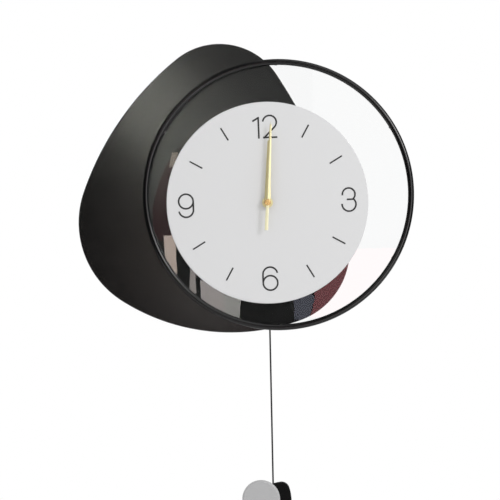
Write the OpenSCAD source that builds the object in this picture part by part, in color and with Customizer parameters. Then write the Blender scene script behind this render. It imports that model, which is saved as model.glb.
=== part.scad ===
// Battery pendulum wall clock: a pebble-shaped back panel, a round tube ring around a clear disc,
// a plain dial, three gilt hands, a quartz movement and a swinging pendulum with a two-part bob.
// Units are millimetres. +Z is up and +Y points at the wall. The origin is the centre of the
// hanger's entry hole, in the middle of the sheet that hangs on the wall screw.

/* [Ring and clear disc] */
// Outside diameter of the round tube ring
ring_diameter = 403; // [380:1:420]
// Diameter of the ring's round tube
ring_tube = 9; // [8:0.5:11]
// How far the ring's centre sits to the right of the hand shaft
ring_right = 16.5; // [10:0.5:25]
// How far the ring's centre sits above the hand shaft
ring_up = 11.5; // [5:0.5:20]
// Thickness of the clear disc that fills the ring
clear_disc_thickness = 3; // [2:0.5:4]
// How far the clear disc's edge stays inside the ring's outside edge
clear_disc_inset = 1; // [0.5:0.5:2]
// Number of threaded studs welded to the back of the ring
ring_stud_count = 6; // [4:1:8]
// Diameter of a ring stud
ring_stud = 3; // [2.5:0.5:4]
// How far the studs sit inside the tube's centre line
ring_stud_inset = 1.5; // [1:0.5:2]
// Width across the flats of a ring nut
ring_nut_flats = 5.5; // [5:0.5:6.5]
// Thickness of a ring nut
ring_nut_thickness = 2.4; // [1.6:0.2:3]

/* [Back panel] */
// Thickness of the pebble-shaped back panel
panel_thickness = 5; // [4:0.5:7]
// Corner centres of the panel, right of and above the shaft: top, left, lower right
panel_corners = [[-68.5, 137], [-143.5, -26], [10.5, -71]];
// Radius of the panel at each of those corners
panel_corner_radii = [102, 139, 111];
// Radius of the panel's long sides: left, bottom, right
panel_side_radii = [440, 304, 790];
// Length of the pillars that hold the clear disc off the panel
standoff_length = 6; // [5:0.5:10]
// Diameter of those pillars
standoff_diameter = 10; // [8:1:14]
// Places of the pillars, right of and above the shaft
standoff_places = [[-85, 75], [35, 75], [-85, -75], [75, -75]];
// Diameter of the screws that clamp disc, pillar and panel
standoff_screw = 3; // [2.5:0.5:4]

/* [Dial] */
// Diameter of the dial
dial_diameter = 300; // [280:1:320]
// Thickness of the dial
dial_thickness = 3; // [2:0.5:4]
// Rounding of the dial's front edge
dial_edge_radius = 1; // [0.5:0.25:1.5]
// Thickness of the raised print on the dial
print_thickness = 0.3; // [0.2:0.05:0.5]
// Width of the strokes of the numerals
numeral_stroke = 2.4; // [1.8:0.1:2.8]
// Distance from the shaft to the middle of the 12 and the 6
numeral_reach_tall = 113; // [105:1:118]
// Distance from the shaft to the middle of the 3 and the 9
numeral_reach_wide = 121; // [115:1:126]
// Height of a numeral
numeral_height = 36.6; // [31:0.1:38.4]
// Length of an hour tick
tick_length = 21.4; // [16:0.1:26]
// Width of an hour tick
tick_width = 2.1; // [1.2:0.1:2.4]
// Distance from the shaft to the middle of a tick
tick_reach = 120; // [115:1:128]
// Anticlockwise turn of the print on the dial, in degrees
print_turn = 1; // [0:0.5:2]
// Thickness of the adhesive pads behind the dial
pad_thickness = 0.8; // [0.6:0.1:1.5]
// Diameter of an adhesive pad
pad_diameter = 18; // [12:1:24]
// Distance from the shaft to the middle of a pad
pad_reach = 128; // [125:1:132]

/* [Hands] */
// Clockwise turn of the three hands from twelve at rest, in degrees
hands_turn = 3.5; // [0:0.5:6]
// How far the hour hand stands behind the minute hand
hour_hand_lag = 1.2; // [0:0.1:3]
// Length of the hour hand from the shaft
hour_hand_length = 92; // [80:1:100]
// Width of the hour hand at its hub
hour_hand_width = 9.5; // [7:0.5:11]
// Width of the hour hand at its tip
hour_hand_tip = 3.5; // [2:0.5:4]
// Length of the minute hand from the shaft
minute_hand_length = 116; // [105:1:125]
// Width of the minute hand at its hub
minute_hand_width = 7.5; // [5:0.5:8]
// Width of the minute hand at its tip
minute_hand_tip = 2.6; // [1:0.2:3]
// Length of the second hand from the shaft
second_hand_length = 120; // [110:1:125]
// Width of the second hand's needle
second_hand_width = 1.2; // [1:0.1:2]
// Length of the second hand's counterweight tail
second_tail_length = 41; // [35:1:50]
// Width of that tail at its end
second_tail_width = 5; // [4:0.5:7]
// Thickness of the hour and minute hands along their ridge
hand_thickness = 1; // [0.8:0.1:1.4]
// Thickness of the second hand
second_hand_thickness = 0.6; // [0.4:0.1:0.8]
// Diameter of the hour hand's round hub
hour_hub_diameter = 16; // [15:0.2:20]
// Diameter of the minute hand's round hub
minute_hub_diameter = 12; // [10:0.5:14]
// Diameter of the cap on the second hand
cap_diameter = 9.4; // [8:0.2:11]

/* [Movement case] */
// Width of the movement case
case_width = 56; // [54:0.5:60]
// Height of the case above the shaft
case_above = 28; // [28:1:32]
// Height of the case below the shaft
case_below = 78; // [78:1:84]
// Depth of the case with its cover
case_depth = 18; // [18:0.5:20]
// Thickness of the case walls and of the cover
case_wall = 1.5; // [1.5:0.25:1.75]
// Corner radius of the case
case_corner = 4; // [3:0.5:6]
// Thickness of the rubber gasket between case and panel
gasket_thickness = 1; // [0.5:0.25:1.5]
// Diameter of the threaded bush around the hand shafts
bush_diameter = 8; // [8:0.5:9]
// Thickness of the washer under the hex nut
washer_thickness = 0.5; // [0.4:0.1:0.8]
// Thickness of the hex nut
hex_nut_thickness = 2.5; // [2:0.5:3]
// Width across the flats of the hex nut
hex_nut_flats = 11; // [11:0.5:13]

/* [Battery and coils] */
// Diameter of the battery
battery_diameter = 14.2; // [13.5:0.1:14.5]
// Room for the spring at the battery's minus end
spring_room = 1.2; // [0.8:0.1:2]
// Height of the battery's button
battery_button = 1; // [0.8:0.1:1.2]
// How far the battery's middle sits below the shaft
battery_below = 19; // [18.9:0.1:19.2]
// Outside diameter of the pendulum's drive coil
drive_coil_diameter = 16; // [12:1:20]
// Outside diameter of the motor coil
motor_coil_diameter = 7.2; // [6:0.2:7.6]

/* [Pendulum] */
// How far the pendulum's pivot sits below the shaft
pivot_below = 42; // [40:1:44]
// Diameter of the pivot pin
pivot_pin = 2; // [1.5:0.25:2.5]
// Play between pivot pin and lever, on the radius
pivot_play = 0.05; // [0.02:0.01:0.08]
// How far the rod's eye sits below the shaft
rod_eye_below = 87; // [87:1:92]
// Diameter of the pendulum rod
rod_diameter = 2.5; // [2:0.1:3]
// How far the rod's lower end sits below the shaft
rod_end_below = 452; // [440:1:460]
// Diameter of the round front piece of the bob
bob_disc_diameter = 56.8; // [50:0.2:62]
// How far that piece's middle sits left of the rod
bob_disc_left = 18.4; // [14:0.2:20]
// How far that piece's middle sits below the shaft
bob_disc_below = 444; // [440:1:450]
// Thickness of each of the two bob pieces
bob_thickness = 4; // [3:0.5:5]
// Width of the sloping rim on the front piece
bob_rim = 2.4; // [1:0.2:3]
// Corner centres of the rear bob piece, right of and above the shaft: top, left, bottom
bob_corners = [[12.5, -431.2], [-20, -447], [3, -461]];
// Radius of the rear bob piece at each of those corners
bob_corner_radii = [12.3, 15, 22.5];
// Radius of the rear bob piece's long sides: left, bottom, right
bob_side_radii = [90, 60, 70];
// Diameter of the steel balance weight behind the bob
weight_diameter = 22; // [16:1:24]
// Thickness of that weight
weight_thickness = 5.75; // [4:0.25:7]
// Place of the weight, right of and above the shaft
weight_place = [12.5, -455];

/* [Wall hanger and feet] */
// How far the hanger's entry hole sits left of the shaft, over the centre of gravity
hook_left = 13.2; // [10:0.5:18]
// How far the hanger's entry hole sits above the shaft
hook_up = 95; // [85:1:105]
// Diameter of the entry hole for the wall screw's head
hook_entry = 9; // [8:0.5:10]
// Width of the slot for the wall screw's shank
hook_slot = 5; // [4:0.5:5.5]
// Length of that slot above the entry hole's centre
hook_slot_length = 11; // [9:0.5:12]
// Thickness of the hanger's sheet
hanger_sheet = 1.5; // [1.2:0.1:2]
// Width of the hanger's raised middle
hanger_width = 36; // [30:1:44]
// Height of the hanger
hanger_height = 32; // [30:1:40]
// Width of each of the hanger's feet
hanger_foot = 12; // [10:1:16]
// Distance from the hanger's middle sheet to the wall
wall_gap = 3; // [2.5:0.5:4]
// Places of the two wall feet, right of and above the shaft
foot_places = [[-150, -110], [60, -110]];
// Diameter of a foot's post
foot_post = 12; // [8:1:16]
// Diameter of a foot's rubber tip
foot_tip = 15; // [12:1:20]
// Thickness of a foot's rubber tip
foot_tip_thickness = 2.5; // [1.5:0.5:4]

/* [Hidden] */
$fn = 96;
eps = 0.01;
// play between a turning shaft and its hole, on the radius
run = 0.08;
// play between a small train pivot and its hole, on the radius
pivot_run = 0.06;
// play between a screw or stud and the hole it passes through
pass = 0.15;
// gap left between a stud or screw thread and its nut
thread_gap = 0.05;
// depths along Y, from the wall side to the front
case_front = -case_depth;
cover_front = -case_wall;
panel_rear = case_front - gasket_thickness;
panel_front = panel_rear - panel_thickness;
disc_rear = panel_front - standoff_length;
disc_front = disc_rear - clear_disc_thickness;
ring_depth = disc_front - ring_tube / 2;
dial_rear = disc_front - pad_thickness;
dial_front = dial_rear - dial_thickness;
print_front = dial_front - print_thickness;
washer_front = dial_front - washer_thickness;
nut_front = washer_front - hex_nut_thickness;
bush_front = nut_front - 0.2;
hour_collet_rear = bush_front - 0.6;
hour_rear = hour_collet_rear - 2;
hour_front = hour_rear - hand_thickness;
minute_collet_rear = hour_front - 0.6;
minute_rear = minute_collet_rear - 1.2;
minute_front = minute_rear - hand_thickness;
second_rear = minute_front - 2;
second_front = second_rear - second_hand_thickness;
cap_front = second_front - 1.2;
// ring
ring_line = (ring_diameter - ring_tube) / 2;
stud_reach = ring_line - ring_stud_inset;
disc_radius = ring_diameter / 2 - clear_disc_inset;
// the numerals are drawn on a grid of 36.6 steps in their height
numeral_grid = numeral_height / 36.6;
pen = numeral_stroke / numeral_grid;
// shafts of the movement
hour_pipe_radius = 2.5;
minute_tube_radius = 1.7;
second_shaft_radius = 0.75;
train_shaft_radius = 0.6;
rotor_shaft_radius = 0.5;
setting_shaft_radius = 1;
bush_bore = hour_pipe_radius + run;
// motor coil, beside the case's right wall
coil_flange_radius = 4;
coil_wall_room = 1.5;
coil_place = case_width / 2 - case_wall - coil_flange_radius - coil_wall_room;
coil_bottom = -5.5;
coil_top = 15.5;
coil_flange = 1;
core_width = 3;
core_reach = 3.5;
coil_clear = 0.2;
coil_peg_radius = 0.9;
coil_peg_reach = 2.4;
// wheel train: teeth counts, tooth size and places right of and above the shaft
motion_module = 0.52;
minute_pinion_teeth = 10;
setting_wheel_teeth = 30;
setting_pinion_teeth = 8;
hour_wheel_teeth = 32;
third_module = 0.3;
second_pinion_teeth = 8;
third_wheel_teeth = 60;
third_pinion_teeth = 8;
center_wheel_teeth = 64;
third_space = third_module * (second_pinion_teeth + third_wheel_teeth) / 2;
center_module = 2 * third_space / (third_pinion_teeth + center_wheel_teeth);
fifth_module = 0.25;
second_wheel_teeth = 60;
fifth_pinion_teeth = 12;
rotor_module = 0.2;
fifth_wheel_teeth = 60;
rotor_pinion_teeth = 10;
setting_place = [0, motion_module * (minute_pinion_teeth + setting_wheel_teeth) / 2];
third_place = [-third_space, 0];
fifth_place = [fifth_module * (second_wheel_teeth + fifth_pinion_teeth) / 2, 0];
rotor_space = rotor_module * (fifth_wheel_teeth + rotor_pinion_teeth) / 2;
// the rotor walks round the fifth wheel until its stator ring clears the coil
stator_ring = 4.7;
rotor_right = coil_place - motor_coil_diameter / 2 - coil_clear - stator_ring;
rotor_angle = acos(min((rotor_right - fifth_place[0]) / rotor_space, 0.95));
rotor_place = fifth_place + rotor_space * [cos(rotor_angle), sin(rotor_angle)];
// levels of the train, behind the case's front face
hour_wheel_level = [2.6, 4.1];
motion_level = [5, 6.5];
center_wheel_level = [8, 9];
third_pinion_level = [7.5, 9.5];
stator_level = [9.3, 10.1];
bridge_level = [10.7, 11.4];
third_wheel_level = [11.7, 12.7];
second_pinion_level = [11.6, 12.9];
fifth_wheel_level = [12, 13];
rotor_pinion_level = [11.8, 13.2];
second_wheel_level = [14, 15];
fifth_pinion_level = [13.4, 15.2];
magnet_level = [8.7, 10.4];
bearing_level = [0.9, 2.3];
rear_bearing = -case_wall - 1;
rear_bearing_end = -0.7;
magnet_radius = 3;
bridge_right = coil_place - 6.8;
bridge_posts = [[-20.5, 8], [-20.5, -8], [bridge_right - 2, -8.2]];
bridge_post_radius = 1.6;
bridge_screw_radius = 0.7;
// battery bay
rib = 0.8;
bay_top = -battery_below + battery_diameter / 2 + 0.3;
bay_bottom = -battery_below - battery_diameter / 2 - 0.3;
battery_depth = case_front + case_depth / 2;
contact_sheet = 0.4;
minus_room = 0.3;
plus_room = 0.9;
battery_left = case_wall + minus_room + spring_room - case_width / 2;
battery_right = case_width / 2 - case_wall - plus_room - contact_sheet - battery_button;
// coils
coil_depth = case_front + (stator_level[0] + stator_level[1]) / 2;
drive_coil_below = 66;
drive_coil_level = [case_wall, 6.8];
drive_core_radius = 2;
// pendulum lever and rod
lever_level = [10.5, 12];
hub_level = [10.2, 13.2];
hub_radius = 3;
lever_width = 6;
drive_magnet_radius = 5;
drive_magnet_level = [8, 10.5];
rod_depth = -9.2;
hook_pin_radius = 1.2;
eye_thickness = 1.8;
eye_radius = 3.4;
groove_radius = rod_diameter / 2 + 0.05;
bob_front = rod_depth - bob_thickness;
bob_rear = rod_depth + bob_thickness;
bob_screw_places = [[-12, -439], [-12, -455]];
// cover screws
cover_screw_radius = 1;
cover_screw_length = 9;
cover_head_radius = 2;
cover_head = 1.2;
cover_screw_places = [
  [case_width / 2 - 4.5, case_above - 4],
  [4.5 - case_width / 2, case_above - 4],
  [case_width / 2 - 4.5, 4.5 - case_below],
  [4.5 - case_width / 2, 4.5 - case_below]
];
// circuit board
board_level = [12, 13];
board_left = 8 - case_width / 2;
board_right = -4;
board_bottom = 13;
board_top = 26;
board_posts = [[board_left + 3, 15.5], [board_right - 3, 23.5]];
// hanger
hanger_feet_rear = panel_rear + hanger_sheet;
hanger_screw_radius = 1.5;

black_paint = [0.08, 0.08, 0.085];
dial_grey = [0.86, 0.86, 0.86];
print_grey = [0.25, 0.25, 0.27];
gilt = [0.85, 0.72, 0.42];
steel = [0.72, 0.73, 0.75];
brass = [0.8, 0.66, 0.36];
dark_plastic = [0.12, 0.12, 0.13];
white_plastic = [0.9, 0.9, 0.88];
rubber_black = [0.06, 0.06, 0.06];

// ---------- helpers ----------

function unit(v) = v / norm(v);
function left_of(v) = [-v[1], v[0]];
// centre of the large arc that touches two corner circles from outside
function arc_centre(a, ra, b, rb, big) =
  let (d = norm(b - a))
  let (u = unit(b - a))
  let (s = (d * d + pow(big - ra, 2) - pow(big - rb, 2)) / (2 * d))
  let (h = sqrt(pow(big - ra, 2) - s * s))
  a + s * u + h * left_of(u);

// moves what is drawn around the hand shaft to its place beside the hanger's hole
module at_shaft() {
  translate([hook_left, 0, -hook_up]) children();
}

// a flat shape drawn as seen from the front, made solid between two depths
module slab(front, rear) {
  translate([0, rear, 0]) rotate([90, 0, 0]) linear_extrude(rear - front) children();
}

// a round bar along Y at a place right of and above the shaft
module bar(radius, front, rear, place = [0, 0]) {
  translate([place[0], rear, place[1]]) rotate([90, 0, 0]) cylinder(h = rear - front, r = radius);
}

// a cone along Y
module taper_bar(front_radius, rear_radius, front, rear, place = [0, 0]) {
  translate([place[0], rear, place[1]])
    rotate([90, 0, 0]) cylinder(h = rear - front, r1 = rear_radius, r2 = front_radius);
}

// a wedge of a circle between two directions
module wedge(centre, radius, from, to) {
  far = 3 * radius;
  middle = unit(from + to);
  intersection() {
    translate(centre) circle(radius);
    polygon([centre, centre + far * from, centre + far * middle, centre + far * to]);
  }
}

// three rounded corners joined by three long arcs
module pebble(c, r, big) {
  o = [for (i = [0:2]) arc_centre(c[i], r[i], c[(i + 1) % 3], r[(i + 1) % 3], big[i])];
  polygon(c);
  for (i = [0:2]) {
    j = (i + 1) % 3;
    before = unit(c[i] - o[(i + 2) % 3]);
    after = unit(c[i] - o[i]);
    next = unit(c[j] - o[i]);
    wedge(c[i], r[i], before, after);
    intersection() {
      translate(o[i]) circle(big[i]);
      polygon([c[i], c[i] + 3 * r[i] * after, c[j] + 3 * r[j] * next, c[j]]);
    }
  }
}

// a rectangle with rounded corners
module rounded_rectangle(left, right, bottom, top, radius) {
  translate([left + radius, bottom]) square([right - left - 2 * radius, top - bottom]);
  for (x = [left, right - radius]) {
    translate([x, bottom + radius]) square([radius, top - bottom - 2 * radius]);
  }
  for (x = [0, 1], z = [0, 1]) {
    cx = x == 0 ? left + radius : right - radius;
    cz = z == 0 ? bottom + radius : top - radius;
    wedge([cx, cz], radius, [x * 2 - 1, 0], [0, z * 2 - 1]);
  }
}

// a straight stroke of the numerals
module stroke(a, b) {
  d = norm(b - a);
  turn = atan2(b[1] - a[1], b[0] - a[0]);
  translate(a) rotate(turn) translate([0, -pen / 2]) square([d, pen]);
}

// a curved stroke of the numerals
module curve(centre, radius, start, end) {
  far = 3 * radius;
  steps = ceil((end - start) / 60);
  fan = [for (i = [0:steps]) far * [cos(start + (end - start) * i / steps),
    sin(start + (end - start) * i / steps)]];
  translate(centre) intersection() {
    difference() {
      circle(radius + pen / 2);
      circle(radius - pen / 2);
    }
    polygon(concat([[0, 0]], fan));
  }
}

module numeral_one() {
  stroke([-9, -17.4], [-9, 14.6]);
  stroke([-17.9, 8.3], [-9.2, 13.4]);
}

module numeral_two() {
  curve([7.6, 6.2], 10.1, -45, 172);
  stroke([7.6 + 10.1 * cos(45), 6.2 - 10.1 * sin(45)], [-1.6, -17.1]);
  translate([-2.9, -17.45]) square([21.3, pen]);
}

module numeral_three() {
  curve([0, 7.8], 9.4, -53, 188);
  curve([0, -7], 10.3, -185, 45);
  stroke([-3, 0.3], [6.4, 0.3]);
}

module numeral_six() {
  curve([0, -6.3], 10.8, 150, 510);
  curve([0, 6.4], 10.8, 10, 180);
  stroke([-10.8, -6.3], [-10.8, 6.4]);
}

// straight-sided teeth with free play on both flanks
module gear_shape(teeth, size, phase) {
  pitch_radius = teeth * size / 2;
  tip = pitch_radius + 0.85 * size;
  root = pitch_radius - 1.2 * size;
  step = 360 / teeth;
  polygon([for (i = [0:teeth - 1], k = [[root, -0.26], [tip, -0.1], [tip, 0.1], [root, 0.26]])
    k[0] * [cos(phase + (i + k[1]) * step), sin(phase + (i + k[1]) * step)]]);
}

module gear(teeth, size, phase, level, place = [0, 0]) {
  translate([place[0], 0, place[1]])
    slab(case_front + level[0], case_front + level[1]) gear_shape(teeth, size, phase);
}

// a straight hand with a ridge along its middle, drawn towards twelve
module ridged_hand(from, to, start_width, end_width, rear, thickness) {
  tip_ridge = thickness * end_width / start_width;
  polyhedron(
    points = [
      [-start_width / 2, rear, from],
      [start_width / 2, rear, from],
      [0, rear - thickness, from],
      [-end_width / 2, rear, to],
      [end_width / 2, rear, to],
      [0, rear - tip_ridge, to]
    ],
    faces = [[0, 2, 1], [3, 4, 5], [0, 1, 4, 3], [1, 2, 5, 4], [2, 0, 3, 5]]
  );
}

// a screw head with a cross recess, its flat side at the given depth, facing the wall
module cross_recess(rear, place, size) {
  translate([place[0], 0, place[1]]) {
    slab(rear - size * 0.3, rear + 1) square([size, size * 0.25], center = true);
    slab(rear - size * 0.3, rear + 1) square([size * 0.25, size], center = true);
  }
}

module hexagon(flats) {
  circle(r = flats / sqrt(3), $fn = 6);
}

// ---------- body that hangs on the wall ----------

module back_panel() {
  color(black_paint) at_shaft() difference() {
    slab(panel_front, panel_rear) pebble(panel_corners, panel_corner_radii, panel_side_radii);
    bar(bush_diameter / 2 + pass, panel_front - 1, panel_rear + 1);
    for (p = standoff_places) bar(standoff_screw / 2 + pass, panel_front - 1, panel_rear + 1, p);
    for (p = foot_places) bar(foot_post / 4, panel_rear - 3, panel_rear + 1, p);
    for (x = [-1, 1], z = [-1, 1]) {
      bar(hanger_screw_radius, panel_rear - 3.2, panel_rear + 1, hanger_screw_place(x, z));
    }
  }
}

function hanger_screw_place(x, z) = [
  -hook_left + x * (hanger_width + hanger_foot) / 2,
  hook_up + z * hanger_height / 4
];

function ring_place(i) = [
  ring_right + stud_reach * cos(90 + 360 * i / ring_stud_count),
  ring_up + stud_reach * sin(90 + 360 * i / ring_stud_count)
];

module ring_frame() {
  color(black_paint) at_shaft() {
    translate([ring_right, ring_depth, ring_up])
      rotate([90, 0, 0]) rotate_extrude() translate([ring_line, 0]) circle(d = ring_tube);
    for (i = [0:ring_stud_count - 1]) {
      bar(ring_stud / 2, ring_depth, disc_rear + ring_nut_thickness + 0.4, ring_place(i));
    }
  }
}

module ring_nuts() {
  color(steel) at_shaft() for (i = [0:ring_stud_count - 1]) {
    p = ring_place(i);
    difference() {
      translate([p[0], 0, p[1]])
        slab(disc_rear, disc_rear + ring_nut_thickness) hexagon(ring_nut_flats);
      bar(ring_stud / 2 + thread_gap, disc_rear - 1, disc_rear + ring_nut_thickness + 1, p);
    }
  }
}

module clear_disc() {
  color([0.9, 0.93, 0.95, 0.3]) at_shaft() difference() {
    bar(disc_radius, disc_front, disc_rear, [ring_right, ring_up]);
    bar(bush_diameter / 2 + pass, disc_front - 1, disc_rear + 1);
    for (i = [0:ring_stud_count - 1]) {
      bar(ring_stud / 2 + pass, disc_front - 1, disc_rear + 1, ring_place(i));
    }
    for (p = standoff_places) {
      bar(standoff_screw / 2 + pass, disc_front - 1, disc_rear + 1, p);
      taper_bar(standoff_screw + pass, standoff_screw / 2 + pass, disc_front, disc_front + 1.65, p);
    }
  }
}

module center_spacer() {
  color(white_plastic) at_shaft() difference() {
    bar(bush_diameter, disc_rear, panel_front);
    bar(bush_diameter / 2 + pass, disc_rear - 1, panel_front + 1);
  }
}

module standoffs() {
  color(steel) at_shaft() for (p = standoff_places) difference() {
    bar(standoff_diameter / 2, disc_rear, panel_front, p);
    bar(standoff_screw / 2 + pass, disc_rear - 1, panel_front + 1, p);
  }
}

module standoff_screws() {
  color(steel) at_shaft() for (p = standoff_places) difference() {
    union() {
      taper_bar(standoff_screw, standoff_screw / 2, disc_front, disc_front + 1.5, p);
      bar(standoff_screw / 2, disc_front + 1.5, panel_rear + 3, p);
    }
    translate([p[0], 0, p[1]]) {
      slab(disc_front - 1, disc_front + 0.8) square([standoff_screw, 0.7], center = true);
      slab(disc_front - 1, disc_front + 0.8) square([0.7, standoff_screw], center = true);
    }
  }
}

module standoff_nuts() {
  color(steel) at_shaft() for (p = standoff_places) difference() {
    translate([p[0], 0, p[1]])
      slab(panel_rear, panel_rear + 2.4) hexagon(1.83 * standoff_screw);
    bar(standoff_screw / 2 + thread_gap, panel_rear - 1, panel_rear + 4, p);
  }
}

module dial_disc() {
  radius = dial_diameter / 2;
  color(dial_grey) at_shaft() difference() {
    translate([0, dial_rear, 0]) rotate([90, 0, 0]) rotate_extrude() {
      square([radius - dial_edge_radius, dial_thickness]);
      translate([radius - dial_edge_radius, 0])
        square([dial_edge_radius, dial_thickness - dial_edge_radius]);
      wedge([radius - dial_edge_radius, dial_thickness - dial_edge_radius],
        dial_edge_radius, [1, 0], [0, 1]);
    }
    bar(bush_diameter / 2 + pass, dial_front - 1, dial_rear + 1);
  }
}

module dial_numerals() {
  color(print_grey) at_shaft() slab(print_front, dial_front) rotate(print_turn) {
    translate([0, numeral_reach_tall]) scale(numeral_grid) {
      numeral_one();
      numeral_two();
    }
    translate([numeral_reach_wide, 0]) scale(numeral_grid) numeral_three();
    translate([0, -numeral_reach_tall]) scale(numeral_grid) numeral_six();
    translate([-numeral_reach_wide, 0]) rotate(180) scale(numeral_grid) numeral_six();
  }
}

module hour_ticks() {
  color(print_grey) at_shaft() slab(print_front, dial_front)
    for (h = [1, 2, 4, 5, 7, 8, 10, 11]) {
      rotate(print_turn - 30 * h) translate([0, tick_reach])
        square([tick_width, tick_length], center = true);
    }
}

module dial_pads() {
  color([0.95, 0.95, 0.93]) at_shaft() for (i = [0:5]) {
    bar(pad_diameter / 2, dial_rear, disc_front, pad_reach * [cos(60 * i), sin(60 * i)]);
  }
}

module wall_hanger() {
  half = hanger_width / 2;
  color(steel) difference() {
    union() {
      slab(-hanger_sheet / 2, hanger_sheet / 2)
        square([hanger_width, hanger_height], center = true);
      for (x = [-half, half - hanger_sheet]) {
        slab(panel_rear, hanger_sheet / 2)
          translate([x, -hanger_height / 2]) square([hanger_sheet, hanger_height]);
      }
      for (x = [-half - hanger_foot, half - hanger_sheet]) {
        slab(panel_rear, hanger_feet_rear) translate([x, -hanger_height / 2])
          square([hanger_foot + hanger_sheet, hanger_height]);
      }
    }
    bar(hook_entry / 2, -2, 2);
    slab(-2, 2) {
      translate([-hook_slot / 2, 0]) square([hook_slot, hook_slot_length]);
      translate([0, hook_slot_length]) circle(d = hook_slot);
    }
    for (x = [-1, 1], z = [-1, 1]) {
      bar(hanger_screw_radius + pass, panel_rear - 1, hanger_feet_rear + 1,
        hanger_screw_place(x, z) - [-hook_left, hook_up]);
    }
  }
}

module hanger_screws() {
  color(steel) at_shaft() for (x = [-1, 1], z = [-1, 1]) {
    p = hanger_screw_place(x, z);
    difference() {
      union() {
        bar(hanger_screw_radius, panel_rear - 3, hanger_feet_rear + 0.5, p);
        bar(2 * hanger_screw_radius, hanger_feet_rear, hanger_feet_rear + 1.6, p);
      }
      cross_recess(hanger_feet_rear + 1.6, p, 3);
    }
  }
}

module foot_posts() {
  color(dark_plastic) at_shaft() for (p = foot_places) {
    bar(foot_post / 2, panel_rear, wall_gap - foot_tip_thickness, p);
    bar(foot_post / 4, panel_rear - 2.8, panel_rear + 1, p);
  }
}

module foot_tips() {
  color(rubber_black) at_shaft() for (p = foot_places) {
    bar(foot_tip / 2, wall_gap - foot_tip_thickness, wall_gap, p);
  }
}

// ---------- movement case ----------

module case_outline(inset) {
  half = case_width / 2 - inset;
  rounded_rectangle(-half, half, inset - case_below, case_above - inset, case_corner - inset);
}

// a hollow post that stands on the inside of the case's front wall
module post(radius, hole, top, hole_bottom, place) {
  difference() {
    bar(radius, case_front + case_wall - eps, case_front + top, place);
    bar(hole, case_front + hole_bottom, case_front + top + 1, place);
  }
}

module movement_case() {
  inner = case_width / 2 - case_wall;
  color(dark_plastic) at_shaft() {
    difference() {
      union() {
        difference() {
          slab(case_front, cover_front) case_outline(0);
          slab(case_front + case_wall, cover_front + 1) case_outline(case_wall);
        }
        slab(case_front + case_wall - eps, cover_front)
          translate([-inner - eps, bay_top]) square([2 * (inner + eps), rib]);
        slab(case_front + case_wall - eps, cover_front)
          translate([-inner - eps, bay_bottom - rib]) square([2 * (inner + eps), rib]);
      }
      bar(bush_diameter / 2 + pass, case_front - 1, case_front + case_wall + 1);
      for (p = [third_place, setting_place]) {
        bar(train_shaft_radius + pivot_run, case_front + bearing_level[0], case_front + 3, p);
      }
      bar(pivot_pin / 2, case_front + 1, case_front + 3, [0, -pivot_below]);
      translate([0, case_front + 11.25, -case_below]) cube([21, 5.5, 4 * case_wall], center = true);
    }
    for (p = [third_place, setting_place]) {
      post(1.4, train_shaft_radius + pivot_run, bearing_level[1], bearing_level[0], p);
    }
    post(1.5, rotor_shaft_radius + pivot_run, 7.3, 6.2, rotor_place);
    for (p = bridge_posts) post(bridge_post_radius, bridge_screw_radius, bridge_level[0], 7, p);
    for (p = cover_screw_places) post(2.4, cover_screw_radius, case_depth - case_wall, 8, p);
    for (p = board_posts) bar(1.2, case_front + case_wall - eps, case_front + board_level[0], p);
    for (z = [coil_bottom - coil_peg_reach, coil_top + coil_peg_reach]) {
      bar(1.5, case_front + case_wall - eps, case_front + stator_level[0], [coil_place, z]);
      bar(coil_peg_radius, case_front + case_wall - eps, case_front + stator_level[1] + 0.5,
        [coil_place, z]);
    }
    bar(drive_core_radius, case_front + case_wall - eps, case_front + 7, [0, -drive_coil_below]);
    post(2.5, pivot_pin / 2, 9.6, 1, [0, -pivot_below]);
  }
}

module rear_bearing(hole, radius, place) {
  difference() {
    bar(radius, rear_bearing, cover_front + eps, place);
    bar(hole, rear_bearing - 1, rear_bearing_end, place);
  }
}

module movement_cover() {
  hole = train_shaft_radius + pivot_run;
  color(dark_plastic) at_shaft() {
    difference() {
      slab(cover_front, 0) case_outline(0);
      slab(cover_front - 1, 1) translate([2 - case_width / 2, bay_bottom])
        square([case_width - 4, bay_top - bay_bottom]);
      for (p = [third_place, fifth_place]) bar(hole, cover_front - 1, rear_bearing_end, p);
      bar(rotor_shaft_radius + pivot_run, cover_front - 1, rear_bearing_end, rotor_place);
      bar(second_shaft_radius + run, cover_front - 1, rear_bearing_end);
      bar(setting_shaft_radius + run, cover_front - 1, 1, setting_place);
      bar(pivot_pin / 2, cover_front - 1, rear_bearing_end, [0, -pivot_below]);
      for (p = cover_screw_places) bar(cover_screw_radius + pass, cover_front - 1, 1, p);
    }
    rear_bearing(hole, 1.4, third_place);
    rear_bearing(hole, 1.4, fifth_place);
    rear_bearing(rotor_shaft_radius + pivot_run, 1.4, rotor_place);
    rear_bearing(second_shaft_radius + run, 1.6, [0, 0]);
    rear_bearing(setting_shaft_radius + run, 2, setting_place);
    difference() {
      bar(2.5, case_front + hub_level[1] + 0.3, cover_front + eps, [0, -pivot_below]);
      bar(pivot_pin / 2, case_front + hub_level[1] - 1, rear_bearing_end, [0, -pivot_below]);
    }
  }
}

module cover_screws() {
  color(steel) at_shaft() for (p = cover_screw_places) difference() {
    union() {
      bar(cover_screw_radius, -cover_screw_length, cover_head / 6, p);
      bar(cover_head_radius, 0, cover_head, p);
    }
    cross_recess(cover_head, p, 1.2 * cover_head_radius);
  }
}

module threaded_bush() {
  color(brass) at_shaft() difference() {
    union() {
      bar(bush_diameter / 2, bush_front, case_front + case_wall + 0.4);
      bar(6, case_front + case_wall, case_front + 2.3);
    }
    bar(bush_bore, bush_front - 1, case_front + 4);
  }
}

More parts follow.
